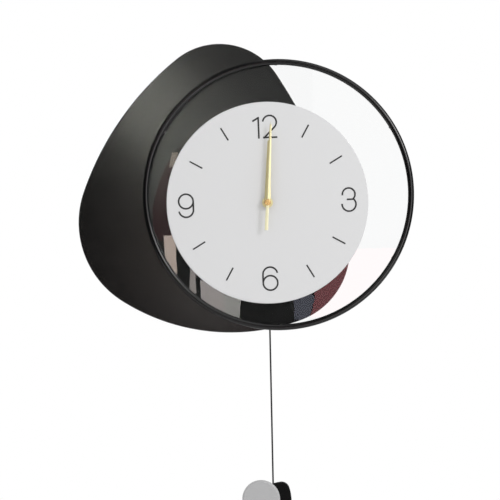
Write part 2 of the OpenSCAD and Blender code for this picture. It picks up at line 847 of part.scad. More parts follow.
module case_gasket() {
  color(rubber_black) at_shaft() difference() {
    bar(20, panel_rear, case_front);
    bar(bush_diameter / 2 + pass, panel_rear - 1, case_front + 1);
  }
}

module front_washer() {
  color(brass) at_shaft() difference() {
    bar(7.5, washer_front, dial_front);
    bar(bush_diameter / 2 + pass, washer_front - 1, dial_front + 1);
  }
}

module hex_nut() {
  color(brass) at_shaft() difference() {
    slab(nut_front, washer_front) hexagon(hex_nut_flats);
    bar(bush_diameter / 2 + thread_gap, nut_front - 1, washer_front + 1);
  }
}

module battery() {
  color([0.75, 0.76, 0.78]) at_shaft()
    translate([battery_left, battery_depth, -battery_below]) rotate([0, 90, 0]) {
      cylinder(h = battery_right - battery_left, d = battery_diameter);
      cylinder(h = battery_right - battery_left + battery_button, r = 2.7);
    }
}

module contact_plus() {
  x = battery_right + battery_button;
  color(steel) at_shaft() {
    translate([x, battery_depth - 5, -battery_below - 5]) cube([contact_sheet, 10, 10]);
    translate([x, battery_depth - 2, -battery_below + 4.9]) cube([contact_sheet, 4, 1.9]);
  }
}

module contact_minus() {
  x = battery_left - spring_room;
  color(steel) at_shaft() {
    translate([x, battery_depth - 5, -battery_below - 5]) cube([contact_sheet, 10, 10]);
    translate([x + contact_sheet - eps, battery_depth, -battery_below])
      rotate([0, 90, 0]) cylinder(h = spring_room - contact_sheet + eps, r1 = 4, r2 = 1.5);
  }
}

module circuit_board() {
  color([0.1, 0.35, 0.2]) at_shaft()
    slab(case_front + board_level[0], case_front + board_level[1])
      translate([board_left, board_bottom])
        square([board_right - board_left, board_top - board_bottom]);
}

module quartz_crystal() {
  color(steel) at_shaft()
    translate([board_left + 3, case_front + board_level[1] + 1, 23.4])
      rotate([0, 90, 0]) cylinder(h = 6, r = 1);
}

module motor_stator() {
  front = case_front + stator_level[0];
  rear = case_front + stator_level[1];
  inner = coil_place - coil_flange_radius - 0.3;
  outer = coil_place + core_width / 2 + 0.5;
  low = coil_bottom - core_reach - 1.2;
  high = coil_top + core_reach + 1;
  color(steel) at_shaft() difference() {
    union() {
      bar(stator_ring, front, rear, rotor_place);
      slab(front, rear) polygon([rotor_place + [-2.5, 2.9], [inner, rotor_place[1]],
        [inner, coil_top + 0.3], [outer, coil_top + 0.3], [outer, high], [coil_place - 4, high]]);
      slab(front, rear) polygon([rotor_place - [0, 3.7], [inner - 0.2, low], [outer, low],
        [outer, coil_bottom - 0.3], [inner, coil_bottom - 0.3], [inner, rotor_place[1] - 1]]);
      slab(front, rear) translate([coil_place - core_width / 2, coil_bottom - core_reach])
        square([core_width, coil_top - coil_bottom + 2 * core_reach]);
    }
    bar(magnet_radius + 0.4, front - 1, rear + 1, rotor_place);
    for (z = [coil_bottom - coil_peg_reach, coil_top + coil_peg_reach]) {
      bar(coil_peg_radius + 0.1, front - 1, rear + 1, [coil_place, z]);
    }
  }
}

module coil_bobbin() {
  color(white_plastic) at_shaft() difference() {
    translate([coil_place, coil_depth, coil_bottom]) union() {
      cylinder(h = coil_top - coil_bottom, r = 1.9);
      cylinder(h = coil_flange, r = coil_flange_radius);
      translate([0, 0, coil_top - coil_bottom - coil_flange])
        cylinder(h = coil_flange, r = coil_flange_radius);
    }
    translate([coil_place, coil_depth, (coil_top + coil_bottom) / 2])
      cube([core_width + 0.1, 0.9, coil_top - coil_bottom + 2], center = true);
  }
}

module coil_winding() {
  bottom = coil_bottom + coil_flange;
  height = coil_top - coil_bottom - 2 * coil_flange;
  color([0.7, 0.35, 0.15]) at_shaft() translate([coil_place, coil_depth, bottom]) difference() {
    cylinder(h = height, d = motor_coil_diameter);
    translate([0, 0, -1]) cylinder(h = height + 2, r = 1.9);
  }
}

module train_bridge() {
  color(white_plastic) at_shaft()
    slab(case_front + bridge_level[0], case_front + bridge_level[1]) difference() {
      polygon([[-22.6, -10], [-18.5, -10], [-12, -5], [4, -5], [bridge_right - 4, -10.2],
        [bridge_right, -10.2], [bridge_right, -6.6], [fifth_place[0] + 1.8, -5],
        [fifth_place[0] + 1.8, 5], [-12, 5], [-18.5, 10], [-22.6, 10]]);
      circle(second_shaft_radius + 0.45);
      translate(third_place) circle(train_shaft_radius + 0.4);
      translate(fifth_place) circle(train_shaft_radius + pivot_run);
      for (p = bridge_posts) translate(p) circle(bridge_screw_radius + pass);
    }
}

module bridge_screws() {
  rear = case_front + bridge_level[1];
  color(steel) at_shaft() for (p = bridge_posts) difference() {
    union() {
      bar(bridge_screw_radius, rear - 4, rear + 0.2, p);
      bar(1.3, rear, rear + 0.9, p);
    }
    cross_recess(rear + 0.9, p, 1.6);
  }
}

module drive_coil() {
  color([0.7, 0.35, 0.15]) at_shaft() difference() {
    bar(drive_coil_diameter / 2, case_front + drive_coil_level[0],
      case_front + drive_coil_level[1], [0, -drive_coil_below]);
    bar(drive_core_radius + 0.1, case_front, case_front + 8, [0, -drive_coil_below]);
  }
}

module lever_pivot() {
  color(steel) at_shaft() bar(pivot_pin / 2, case_front + 1, rear_bearing_end, [0, -pivot_below]);
}

// ---------- wheel train ----------

module rotor() {
  color([0.3, 0.3, 0.32]) at_shaft() difference() {
    bar(magnet_radius, case_front + magnet_level[0], case_front + magnet_level[1], rotor_place);
    bar(rotor_shaft_radius, case_front + 8, case_front + 12, rotor_place);
  }
}

module rotor_pinion() {
  color(white_plastic) at_shaft() {
    gear(rotor_pinion_teeth, rotor_module, rotor_angle + 180 + 180 / rotor_pinion_teeth,
      rotor_pinion_level, rotor_place);
    bar(rotor_shaft_radius, case_front + 6.3, rear_bearing_end - 0.1, rotor_place);
  }
}

module fifth_wheel() {
  color(white_plastic) at_shaft() {
    gear(fifth_wheel_teeth, rotor_module, rotor_angle, fifth_wheel_level, fifth_place);
    gear(fifth_pinion_teeth, fifth_module, 180 + 180 / fifth_pinion_teeth,
      fifth_pinion_level, fifth_place);
    bar(train_shaft_radius, case_front + 10.2, rear_bearing_end - 0.1, fifth_place);
  }
}

module seconds_wheel() {
  color(white_plastic) at_shaft() {
    gear(second_wheel_teeth, fifth_module, 0, second_wheel_level);
    gear(second_pinion_teeth, third_module, 180, second_pinion_level);
    bar(second_shaft_radius, second_front, rear_bearing_end - 0.1);
  }
}

module third_wheel() {
  color(white_plastic) at_shaft() {
    gear(third_wheel_teeth, third_module, 180 / third_wheel_teeth, third_wheel_level, third_place);
    gear(third_pinion_teeth, center_module, 0, third_pinion_level, third_place);
    bar(train_shaft_radius, case_front + bearing_level[0] + 0.1, rear_bearing_end - 0.1,
      third_place);
  }
}

module center_wheel() {
  color(white_plastic) at_shaft() difference() {
    union() {
      gear(center_wheel_teeth, center_module, 180 + 180 / center_wheel_teeth, center_wheel_level);
      bar(3.2, case_front + center_wheel_level[0] - 0.5, case_front + center_wheel_level[1]);
    }
    bar(minute_tube_radius + run, case_front + 6, case_front + 10);
  }
}

module minute_arbor() {
  color(brass) at_shaft() difference() {
    union() {
      bar(minute_tube_radius, minute_front, case_front + 9.8);
      gear(minute_pinion_teeth, motion_module, 90, motion_level);
      bar(2.4, case_front + center_wheel_level[1] + 0.2, case_front + 9.8);
    }
    bar(second_shaft_radius + run, minute_front - 1, case_front + 12);
  }
}

module setting_wheel() {
  color(white_plastic) at_shaft() {
    gear(setting_wheel_teeth, motion_module, 270 + 180 / setting_wheel_teeth,
      motion_level, setting_place);
    gear(setting_pinion_teeth, motion_module, 270, hour_wheel_level, setting_place);
    bar(train_shaft_radius, case_front + bearing_level[0] + 0.1, case_front + 11, setting_place);
    bar(setting_shaft_radius, case_front + 10.2, 1.8, setting_place);
  }
}

module setting_knob() {
  color(dark_plastic) at_shaft() difference() {
    union() {
      bar(2.2, 0.3, 1.8, setting_place);
      translate([setting_place[0], 0, setting_place[1]])
        slab(0.9, wall_gap - 0.8) gear_shape(36, 0.33, 0);
    }
    bar(setting_shaft_radius, 0, 1.8, setting_place);
  }
}

module hour_wheel() {
  color(white_plastic) at_shaft() difference() {
    union() {
      gear(hour_wheel_teeth, motion_module, 90 + 180 / hour_wheel_teeth, hour_wheel_level);
      bar(hour_pipe_radius, hour_front, case_front + hour_wheel_level[1]);
    }
    bar(minute_tube_radius + run, hour_front - 1, case_front + hour_wheel_level[1] + 1);
  }
}

// ---------- hands ----------

module turned(turn = hands_turn) {
  at_shaft() rotate([0, turn, 0]) children();
}

module hour_hand() {
  color(gilt) turned(hands_turn - hour_hand_lag) difference() {
    union() {
      ridged_hand(0, hour_hand_length, hour_hand_width, hour_hand_tip, hour_rear, hand_thickness);
      bar(hour_hub_diameter / 2, hour_front, hour_rear);
      bar(3.6, hour_rear - eps, hour_collet_rear);
    }
    bar(hour_pipe_radius, hour_front - 1, hour_collet_rear + 1);
  }
}

module minute_hand() {
  color(gilt) turned() difference() {
    union() {
      ridged_hand(0, minute_hand_length, minute_hand_width, minute_hand_tip, minute_rear,
        hand_thickness);
      bar(minute_hub_diameter / 2, minute_front, minute_rear);
      bar(3, minute_rear - eps, minute_collet_rear);
    }
    bar(minute_tube_radius, minute_front - 1, minute_collet_rear + 1);
  }
}

module second_hand() {
  half = second_hand_width / 2;
  tail = 0.42 * second_tail_width;
  color(gilt) turned() difference() {
    union() {
      slab(second_front, second_rear) {
        polygon([[-half, 0], [half, 0], [half / 2, second_hand_length],
          [-half / 2, second_hand_length]]);
        polygon([[-tail, 0], [tail, 0], [second_tail_width / 2, -second_tail_length],
          [-second_tail_width / 2, -second_tail_length]]);
        circle(4);
      }
      bar(1.8, second_rear - eps, minute_front - 0.5);
    }
    bar(second_shaft_radius, second_front - 1, minute_front);
  }
}

module hand_cap() {
  color([0.82, 0.6, 0.28]) turned() {
    bar(cap_diameter / 2, second_front - 0.6, second_front);
    taper_bar(cap_diameter / 2 - 0.8, cap_diameter / 2, cap_front, second_front - 0.6);
  }
}

// ---------- pendulum ----------

module pendulum_lever() {
  rod_level = rod_depth - case_front;
  color(white_plastic) at_shaft() difference() {
    union() {
      slab(case_front + lever_level[0], case_front + lever_level[1]) {
        translate([-lever_width / 2, -rod_eye_below - 3])
          square([lever_width, rod_eye_below - pivot_below + 3]);
        translate([0, -drive_coil_below]) circle(6.4);
      }
      bar(hub_radius, case_front + hub_level[0], case_front + hub_level[1], [0, -pivot_below]);
      bar(hook_pin_radius, case_front + rod_level - 2.6, case_front + lever_level[0] + eps,
        [0, -rod_eye_below]);
      bar(2.2, case_front + rod_level - 3.2, case_front + rod_level - 2.4, [0, -rod_eye_below]);
    }
    bar(pivot_pin / 2 + pivot_play, case_front + 8, case_front + 15, [0, -pivot_below]);
  }
}

module drive_magnet() {
  color(steel) at_shaft() bar(drive_magnet_radius, case_front + drive_magnet_level[0],
    case_front + drive_magnet_level[1], [0, -drive_coil_below]);
}

module pendulum_rod() {
  color(black_paint) at_shaft() difference() {
    union() {
      bar(eye_radius, rod_depth - eye_thickness / 2, rod_depth + eye_thickness / 2,
        [0, -rod_eye_below]);
      translate([0, rod_depth, -rod_end_below])
        cylinder(h = rod_end_below - rod_eye_below - 2, d = rod_diameter);
    }
    bar(hook_pin_radius + 0.05, rod_depth - 3, rod_depth + 3, [0, -rod_eye_below]);
  }
}

module rod_groove() {
  translate([0, rod_depth, -rod_end_below - 0.5]) cylinder(h = 80, r = groove_radius);
}

module bob_disc() {
  place = [-bob_disc_left, -bob_disc_below];
  radius = bob_disc_diameter / 2;
  slope = bob_rim * 0.6;
  color([0.74, 0.74, 0.74]) at_shaft() difference() {
    union() {
      bar(radius, bob_front + slope, rod_depth, place);
      taper_bar(radius - bob_rim, radius, bob_front, bob_front + slope, place);
    }
    rod_groove();
    for (p = bob_screw_places) bar(1.25, rod_depth - 2.6, rod_depth + 1, p);
  }
}

module bob_pebble() {
  color(black_paint) at_shaft() difference() {
    slab(rod_depth, bob_rear) pebble(bob_corners, bob_corner_radii, bob_side_radii);
    rod_groove();
    for (p = bob_screw_places) {
      bar(1.25 + pass, rod_depth - 1, bob_rear + 1, p);
      taper_bar(1.25 + pass, 2.5 + pass, bob_rear - 1.4, bob_rear, p);
    }
  }
}

module bob_weight() {
  color(steel) at_shaft()
    bar(weight_diameter / 2, bob_rear, bob_rear + weight_thickness, weight_place);
}

module bob_screws() {
  color(steel) at_shaft() for (p = bob_screw_places) difference() {
    union() {
      bar(1.25, rod_depth - 2.4, bob_rear - 1.2, p);
      taper_bar(1.25, 2.5, bob_rear - 1.3, bob_rear - 0.05, p);
    }
    cross_recess(bob_rear - 0.05, p, 2.2);
  }
}

back_panel();
ring_frame();
ring_nuts();
clear_disc();
center_spacer();
standoffs();
standoff_screws();
standoff_nuts();
dial_disc();
dial_numerals();
hour_ticks();
dial_pads();
wall_hanger();
hanger_screws();
foot_posts();
foot_tips();
movement_case();
movement_cover();
cover_screws();
threaded_bush();
case_gasket();
front_washer();
hex_nut();
battery();
contact_plus();
contact_minus();
circuit_board();
quartz_crystal();
motor_stator();
coil_bobbin();
coil_winding();
train_bridge();
bridge_screws();
drive_coil();
lever_pivot();
rotor();
rotor_pinion();
fifth_wheel();
seconds_wheel();
third_wheel();
center_wheel();
minute_arbor();
setting_wheel();
setting_knob();
hour_wheel();
hour_hand();
minute_hand();
second_hand();
hand_cap();
pendulum_lever();
drive_magnet();
pendulum_rod();
bob_disc();
bob_pebble();
bob_weight();
bob_screws();
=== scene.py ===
"""Looks of a battery pendulum wall clock: a satin pebble panel, a coated ring around a clear disc,
a matt dial with gilt hands, a quartz movement and a pendulum with a two-part bob.

Sizes in the classes are millimetres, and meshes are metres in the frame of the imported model.
"""

import logging
import math
from collections.abc import Callable, Iterable
from dataclasses import dataclass, field
from enum import Enum

import bmesh
import bpy
import numpy as np
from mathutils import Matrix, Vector
from mathutils.geometry import delaunay_2d_cdt


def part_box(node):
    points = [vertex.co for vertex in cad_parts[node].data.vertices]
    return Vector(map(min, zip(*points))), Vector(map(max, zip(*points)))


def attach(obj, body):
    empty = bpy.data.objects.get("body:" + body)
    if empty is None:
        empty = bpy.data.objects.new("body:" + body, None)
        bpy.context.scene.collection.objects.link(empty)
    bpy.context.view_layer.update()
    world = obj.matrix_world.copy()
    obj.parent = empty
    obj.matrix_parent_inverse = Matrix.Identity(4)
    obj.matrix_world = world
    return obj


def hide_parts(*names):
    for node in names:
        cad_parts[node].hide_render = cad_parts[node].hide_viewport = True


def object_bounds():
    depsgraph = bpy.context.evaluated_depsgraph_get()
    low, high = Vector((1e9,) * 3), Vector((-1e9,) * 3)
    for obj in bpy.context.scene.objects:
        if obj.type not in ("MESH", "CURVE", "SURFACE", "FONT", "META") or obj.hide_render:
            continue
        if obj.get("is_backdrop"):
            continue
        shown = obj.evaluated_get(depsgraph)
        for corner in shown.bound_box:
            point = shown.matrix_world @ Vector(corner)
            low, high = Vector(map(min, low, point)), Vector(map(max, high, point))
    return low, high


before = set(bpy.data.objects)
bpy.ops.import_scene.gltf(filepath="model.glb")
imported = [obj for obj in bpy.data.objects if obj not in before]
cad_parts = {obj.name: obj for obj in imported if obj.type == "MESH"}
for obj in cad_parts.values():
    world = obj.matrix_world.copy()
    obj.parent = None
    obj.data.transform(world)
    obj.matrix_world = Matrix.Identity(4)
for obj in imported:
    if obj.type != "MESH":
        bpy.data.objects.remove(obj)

LOG = logging.getLogger("clock")
MM = 0.001
MERGE = 1e-7  # metres within which points of a new surface are one
WELD = 2e-6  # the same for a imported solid
HOLES_OPEN = 2  # the triangulation's output: triangles inside the outlines, with holes left out
WAVE_BAND = 0.31416  # the Wave node's scale for one band per metre
Colour = tuple[float, float, float]
Point = tuple[float, float, float]
Spot = tuple[float, float]
Feed = float | tuple[float, ...] | bpy.types.NodeSocket
Inputs = dict[str | int, Feed]


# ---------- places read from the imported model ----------


def middle(node: str) -> Spot:
    """Gives the middle of a node across and up, in millimetres."""
    low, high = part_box(node)
    return ((low.x + high.x) / 2 / MM, (low.z + high.z) / 2 / MM)


def depths(node: str) -> Spot:
    """Gives a node's front and rear depth, in millimetres."""
    low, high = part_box(node)
    return (low.y / MM, high.y / MM)


def half_width(node: str) -> float:
    """Gives half of a node's width across, in millimetres."""
    low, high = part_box(node)
    return (high.x - low.x) / 2 / MM


SHAFT = middle("hex_nut")


def about_shaft(places: Iterable[Spot]) -> list[Spot]:
    """Moves places given from the hand shaft into the frame."""
    return [(SHAFT[0] + x, SHAFT[1] + z) for x, z in places]


# ---------- node trees ----------


class Board:
    """A node tree under construction."""

    def __init__(self, tree: bpy.types.NodeTree) -> None:
        """Starts from an empty tree.

        Args:
            tree: The tree to fill.
        """
        self.tree = tree
        tree.nodes.clear()

    def feed(self, node: bpy.types.Node, inputs: Inputs) -> None:
        """Sets or links a node's inputs.

        Args:
            node: The node.
            inputs: Socket name or number to a value or to the socket that feeds it.
        """
        for name, value in inputs.items():
            if isinstance(value, bpy.types.NodeSocket):
                self.tree.links.new(value, node.inputs[name])
            else:
                node.inputs[name].default_value = value

    def put(self, kind: str, inputs: Inputs | None = None, **settings: object) -> bpy.types.Node:
        """Adds a node.

        Args:
            kind: The node's type, without the word ShaderNode.
            inputs: Its inputs, as feed takes them.
            settings: Properties of the node itself.

        Returns:
            The node.
        """
        node = self.tree.nodes.new(kind if kind.startswith("Node") else "ShaderNode" + kind)
        for name, value in settings.items():
            setattr(node, name, value)
        self.feed(node, inputs or {})
        return node

    def math(self, operation: str, *values: Feed) -> bpy.types.NodeSocket:
        """Adds a Math node on numbers or sockets and gives its output."""
        return self.put("Math", dict(enumerate(values)), operation=operation).outputs[0]

    def vector(self, operation: str, *values: Feed) -> bpy.types.Node:
        """Adds a Vector Math node and gives it back."""
        return self.put("VectorMath", dict(enumerate(values)), operation=operation)

    def spread(self, value: Feed, low: float, high: float, to_low: float = 0,
               to_high: float = 1) -> bpy.types.NodeSocket:
        """Adds a clamped Map Range node from low..high to to_low..to_high and gives its output."""
        numbers = {"Value": value, "From Min": low, "From Max": high, "To Min": to_low, "To Max": to_high}
        return self.put("MapRange", numbers).outputs[0]

    def blend(self, share: Feed, first: Feed, second: Feed) -> bpy.types.NodeSocket:
        """Adds a colour mix from first to second by share and gives its output."""
        return self.put("Mix", {0: share, 6: first, 7: second}, data_type="RGBA").outputs[2]

    def noise(self, at: Feed, size: Feed, detail: float = 2) -> bpy.types.NodeSocket:
        """Adds a noise whose scale is size per metre and gives its value."""
        return self.put("TexNoise", {"Vector": at, "Scale": size, "Detail": detail}).outputs[0]


@dataclass(frozen=True)
class Effect:
    """An effect that several finishes share, kept as one node group."""

    name: str
    takes: dict[str, str]
    gives: dict[str, str]
    recipe: Callable[[Board, bpy.types.Node, bpy.types.Node], None]

    def tree(self) -> bpy.types.NodeTree:
        """Gives the group, built on first use.

        Returns:
            The node group, with a socket of the named kind for each thing it takes and gives.
        """
        tree = bpy.data.node_groups.get(self.name)
        if tree is None:
            tree = bpy.data.node_groups.new(self.name, "ShaderNodeTree")
            for way, sockets in (("INPUT", self.takes), ("OUTPUT", self.gives)):
                for label, kind in sockets.items():
                    tree.interface.new_socket(label, in_out=way, socket_type="NodeSocket" + kind)
            board = Board(tree)
            start = board.put("NodeGroupInput")
            self.recipe(board, start, board.put("NodeGroupOutput"))
        return tree


def fill_relief(board: Board, start: bpy.types.Node, end: bpy.types.Node) -> None:
    """Height of a sprayed or moulded skin: a coarse swell with a finer grain on it.

    Args:
        board: The group's tree.
        start: Its input node.
        end: Its output node.
    """
    finer = 5.0
    at, scale = start.outputs["Place"], start.outputs["Scale"]
    swell = board.noise(at, scale, 1)
    grain = board.noise(at, board.math("MULTIPLY", scale, finer), 2)
    height = board.math("ADD", swell, board.math("MULTIPLY", grain, start.outputs["Grain"]))
    board.feed(end, {"Height": height})


def fill_drift(board: Board, start: bpy.types.Node, end: bpy.types.Node) -> None:
    """Slow drift of tone and gloss over a surface: broad noise around zero.

    Args:
        board: The group's tree.
        start: Its input node.
        end: Its output node.
    """
    broad = board.noise(start.outputs["Place"], start.outputs["Scale"], 3)
    offset = board.math("MULTIPLY", board.math("SUBTRACT", broad, 0.5), start.outputs["Amount"])
    tinted = board.vector("SCALE", start.outputs["Colour"])
    board.feed(tinted, {"Scale": board.math("ADD", 1.0, offset)})
    board.feed(end, {"Offset": offset, "Colour": tinted.outputs[0]})


def fill_wear(board: Board, start: bpy.types.Node, end: bpy.types.Node) -> None:
    """Rubbed edges: the piece's own edge attribute, broken up by noise.

    Args:
        board: The group's tree.
        start: Its input node.
        end: Its output node.
    """
    patch_scale = 160.0
    edge = board.put("Attribute", attribute_name="edge").outputs["Fac"]
    broken = board.spread(board.noise(start.outputs["Place"], patch_scale, 4), 0.35, 0.7)
    rubbed = board.math("MULTIPLY", edge, broken)
    board.feed(end, {"Mask": board.math("MULTIPLY", rubbed, start.outputs["Amount"])})


def fill_dust(board: Board, start: bpy.types.Node, end: bpy.types.Node) -> None:
    """Settled dust: surfaces that face up hold it, in specks and a soft film.

    Args:
        board: The group's tree.
        start: Its input node.
        end: Its output node.
    """
    speck_scale, film_share = 900.0, 0.35
    up = board.put("SeparateXYZ", {0: board.put("NewGeometry").outputs["Normal"]}).outputs["Z"]
    specks = board.spread(board.noise(start.outputs["Place"], speck_scale, 3), 0.45, 0.75)
    film = board.math("ADD", film_share, board.math("MULTIPLY", specks, 1 - film_share))
    held = board.math("MULTIPLY", board.spread(up, 0.3, 1.0), film)
    board.feed(end, {"Mask": board.math("MULTIPLY", held, start.outputs["Amount"])})


def fill_lines(board: Board, start: bpy.types.Node, end: bpy.types.Node) -> None:
    """Fine working lines: noise drawn out along one direction by squeezing the place vector.

    Args:
        board: The group's tree.
        start: Its input node.
        end: Its output node.
    """
    fine_share, coarse_scale = 0.65, 0.21
    place = board.vector("MULTIPLY", start.outputs["Place"], start.outputs["Squeeze"]).outputs[0]
    fine = board.noise(place, 1.0, 3)
    coarse = board.noise(place, coarse_scale, 2)
    height = board.math("ADD", board.math("MULTIPLY", fine, fine_share),
                        board.math("MULTIPLY", coarse, 1 - fine_share))
    board.feed(end, {"Height": height})


def fill_rings(board: Board, start: bpy.types.Node, end: bpy.types.Node) -> None:
    """Lathe lines: noise of the distance from a shaft along Y.

    Args:
        board: The group's tree.
        start: Its input node.
        end: Its output node.
    """
    away = board.vector("SUBTRACT", start.outputs["Place"], start.outputs["Centre"]).outputs[0]
    flat = board.vector("MULTIPLY", away, (1.0, 0.0, 1.0)).outputs[0]
    reach = board.vector("LENGTH", flat).outputs["Value"]
    at = board.math("MULTIPLY", reach, start.outputs["Scale"])
    groove = board.put("TexNoise", {"W": at, "Detail": 3.0}, noise_dimensions="1D").outputs[0]
    board.feed(end, {"Height": groove})


RELIEF = Effect("moulded_relief", {"Place": "Vector", "Scale": "Float", "Grain": "Float"},
                {"Height": "Float"}, fill_relief)
DRIFT = Effect("tone_drift", {"Place": "Vector", "Colour": "Color", "Scale": "Float", "Amount": "Float"},
               {"Colour": "Color", "Offset": "Float"}, fill_drift)
WEAR = Effect("rubbed_edges", {"Place": "Vector", "Amount": "Float"}, {"Mask": "Float"}, fill_wear)
DUST = Effect("settled_dust", {"Place": "Vector", "Amount": "Float"}, {"Mask": "Float"}, fill_dust)
LINES = Effect("drawn_lines", {"Place": "Vector", "Squeeze": "Vector"}, {"Height": "Float"}, fill_lines)
RINGS = Effect("lathe_lines", {"Place": "Vector", "Centre": "Vector", "Scale": "Float"},
               {"Height": "Float"}, fill_rings)


class Skin(Board):
    """A material's tree, with the piece's own coordinates and the shader."""

    def __init__(self, tree: bpy.types.NodeTree) -> None:
        """Starts with the coordinates, the shader and the output.

        Args:
            tree: The material's tree.
        """
        super().__init__(tree)
        self.place = self.put("TexCoord").outputs["Object"]
        self.shader = self.put("BsdfPrincipled")
        self.put("OutputMaterial", {"Surface": self.shader.outputs[0]})

    def effect(self, effect: Effect, **inputs: Feed) -> bpy.types.Node:
        """Places a shared effect at the piece's own coordinates and gives its node."""
        return self.put("Group", {"Place": self.place, **inputs}, node_tree=effect.tree())

    def texture(self, size: float, detail: float) -> bpy.types.NodeSocket:
        """Gives a noise at the piece's own coordinates, size per metre."""
        return self.noise(self.place, size, detail)

    def dress(self, inputs: Inputs) -> None:
        """Sets or links the shader's inputs."""
        self.feed(self.shader, inputs)

    def bump(self, height: Feed, depth: float) -> None:
        """Feeds the shader's normal from a height of about 0 to 1 over a depth in metres."""
        bump = self.put("Bump", {"Height": height, "Distance": depth, "Strength": 1.0})
        self.dress({"Normal": bump.outputs[0]})


# ---------- finishes ----------


class Grain(Enum):
    """Which way the working lines of a metal run, as noise cells per metre along X, Y and Z."""

    ACROSS = (60.0, 6000.0, 6000.0)
    UPRIGHT = (6000.0, 6000.0, 60.0)
    DEEP = (6000.0, 60.0, 6000.0)
    TURNED = (0.0, 0.0, 0.0)


@dataclass(frozen=True)
class Finish:
    """A finish with a name of its own; the classes below say how it is made."""

    name: str
    colour: Colour
    roughness: float = 0.4

    def material(self) -> bpy.types.Material:
        """Gives the finish's material, built on first use.

        Returns:
            The material, whose name is the finish's with an ending of its own.
        """
        made = bpy.data.materials.get(self.name + "_look")
        if made is None:
            made = bpy.data.materials.new(self.name + "_look")
            made.use_nodes = True
            self.fill(Skin(made.node_tree))
        return made

    def fill(self, skin: Skin) -> None:
        """Feeds the shader; each kind of finish does it in its own way."""
        raise NotImplementedError

    def rough(self, skin: Skin, mark: Feed, low: float, high: float) -> bpy.types.NodeSocket:
        """Spreads the middle of a mark from low to high shares of the roughness."""
        return skin.spread(mark, 0.3, 0.7, self.roughness * low, self.roughness * high)


@dataclass(frozen=True)
class Coat(Finish):
    """A sprayed, printed or moulded skin.

    The colour drifts a little, edges rub to a lighter tone, dust settles on what faces up, and
    the skin has a fine relief that blurs its reflections.
    """

    specular: float = 0.5
    relief_scale: float = 700.0
    relief_depth: float = 6e-6
    grain: float = 0.35
    tone: float = 0.12
    tone_scale: float = 9.0
    gloss_drift: float = 0.12
    gloss_scale: float = 38.0
    worn: Colour = (0.2, 0.2, 0.2)
    rub: float = 0.35
    dusty: float = 0.05
    dust: Colour = (0.42, 0.4, 0.37)
    dust_rough: float = 0.5
    soft: float = 0.0

    def fill(self, skin: Skin) -> None:
        """Colour through drift, rubbed edges and dust; roughness through drift; relief as bump.

        Args:
            skin: The material's tree.
        """
        toned = skin.effect(DRIFT, Colour=(*self.colour, 1), Scale=self.tone_scale, Amount=self.tone)
        rubbed = skin.effect(WEAR, Amount=self.rub).outputs[0]
        film = skin.effect(DUST, Amount=self.dusty).outputs[0]
        colour = skin.blend(rubbed, toned.outputs["Colour"], (*self.worn, 1))
        gloss = skin.effect(DRIFT, Colour=(0, 0, 0, 1), Scale=self.gloss_scale, Amount=self.gloss_drift)
        rough = skin.math("ADD", self.roughness, gloss.outputs["Offset"])
        skin.dress({
            "Base Color": skin.blend(film, colour, (*self.dust, 1)),
            "Roughness": skin.math("ADD", rough, skin.math("MULTIPLY", film, self.dust_rough)),
            "Specular IOR Level": self.specular,
            "Subsurface Weight": self.soft,
            "Subsurface Scale": MM,
        })
        height = skin.effect(RELIEF, Scale=self.relief_scale, Grain=self.grain).outputs[0]
        skin.bump(height, self.relief_depth)


@dataclass(frozen=True)
class Metal(Finish):
    """Bare or plated metal with working lines along one direction or around a shaft."""

    run: Grain = Grain.TURNED
    centre: Spot = SHAFT
    depth: float = 3e-6
    stain: Colour = (0.3, 0.26, 0.2)
    stained: float = 0.25
    stain_scale: float = 140.0
    stain_rough: float = 0.3
    line_scale: float = 5200.0
    metallic: float = 1.0

    def fill(self, skin: Skin) -> None:
        """Colour through stains, roughness and bump through the working lines.

        Args:
            skin: The material's tree.
        """
        if self.run is Grain.TURNED:
            centre = (self.centre[0] * MM, 0, self.centre[1] * MM)
            mark = skin.effect(RINGS, Centre=centre, Scale=self.line_scale).outputs[0]
        else:
            mark = skin.effect(LINES, Squeeze=self.run.value).outputs[0]
        cloud = skin.spread(skin.texture(self.stain_scale, 5), 0.5, 0.8, 0, self.stained)
        rough = self.rough(skin, mark, 0.75, 1.3)
        skin.dress({
            "Base Color": skin.blend(cloud, (*self.colour, 1), (*self.stain, 1)),
            "Roughness": skin.math("ADD", rough, skin.math("MULTIPLY", cloud, self.stain_rough)),
            "Metallic": self.metallic,
        })
        skin.bump(mark, self.depth)


@dataclass(frozen=True)
class Clear(Finish):
    """Cast acrylic: clear, with faint wipe marks in its gloss."""

    smear_scale: float = 11.0
    smeared: float = 2.0
    index: float = 1.49

    def fill(self, skin: Skin) -> None:
        """Plain transmission, and roughness through faint smears.

        Args:
            skin: The material's tree.
        """
        mark = skin.texture(self.smear_scale, 4)
        skin.dress({
            "Base Color": (*self.colour, 1),
            "Roughness": skin.spread(mark, 0.5, 0.75, self.roughness, self.roughness * self.smeared),
            "Transmission Weight": 1.0,
            "IOR": self.index,
        })


@dataclass(frozen=True)
class Winding(Finish):
    """Enamelled copper wire wound in close turns around Z."""

    pitch: float = 0.18
    # share of the wire's colour left in the grooves by the painted shade
    groove: float = 0.3
    metallic: float = 0.85
    depth: float = 4e-5

    def fill(self, skin: Skin) -> None:
        """Turns as a round wave along the axis, with painted shade darkening the colour in the grooves.

        Args:
            skin: The material's tree.
        """
        inputs = {"Vector": skin.place, "Scale": WAVE_BAND / (self.pitch * MM), "Distortion": 0.6,
                  "Detail": 1.0}
        wave = skin.put("TexWave", inputs, bands_direction="Z", wave_profile="SIN").outputs[1]
        # painted shade: the wire's colour darkened in the grooves between turns, not a change of enamel
        dark = tuple(part * self.groove for part in self.colour)
        skin.dress({
            "Base Color": skin.blend(wave, (*dark, 1), (*self.colour, 1)),
            "Metallic": self.metallic,
            "Roughness": self.rough(skin, skin.texture(900.0, 2), 0.8, 1.3),
        })
        skin.bump(wave, self.depth)


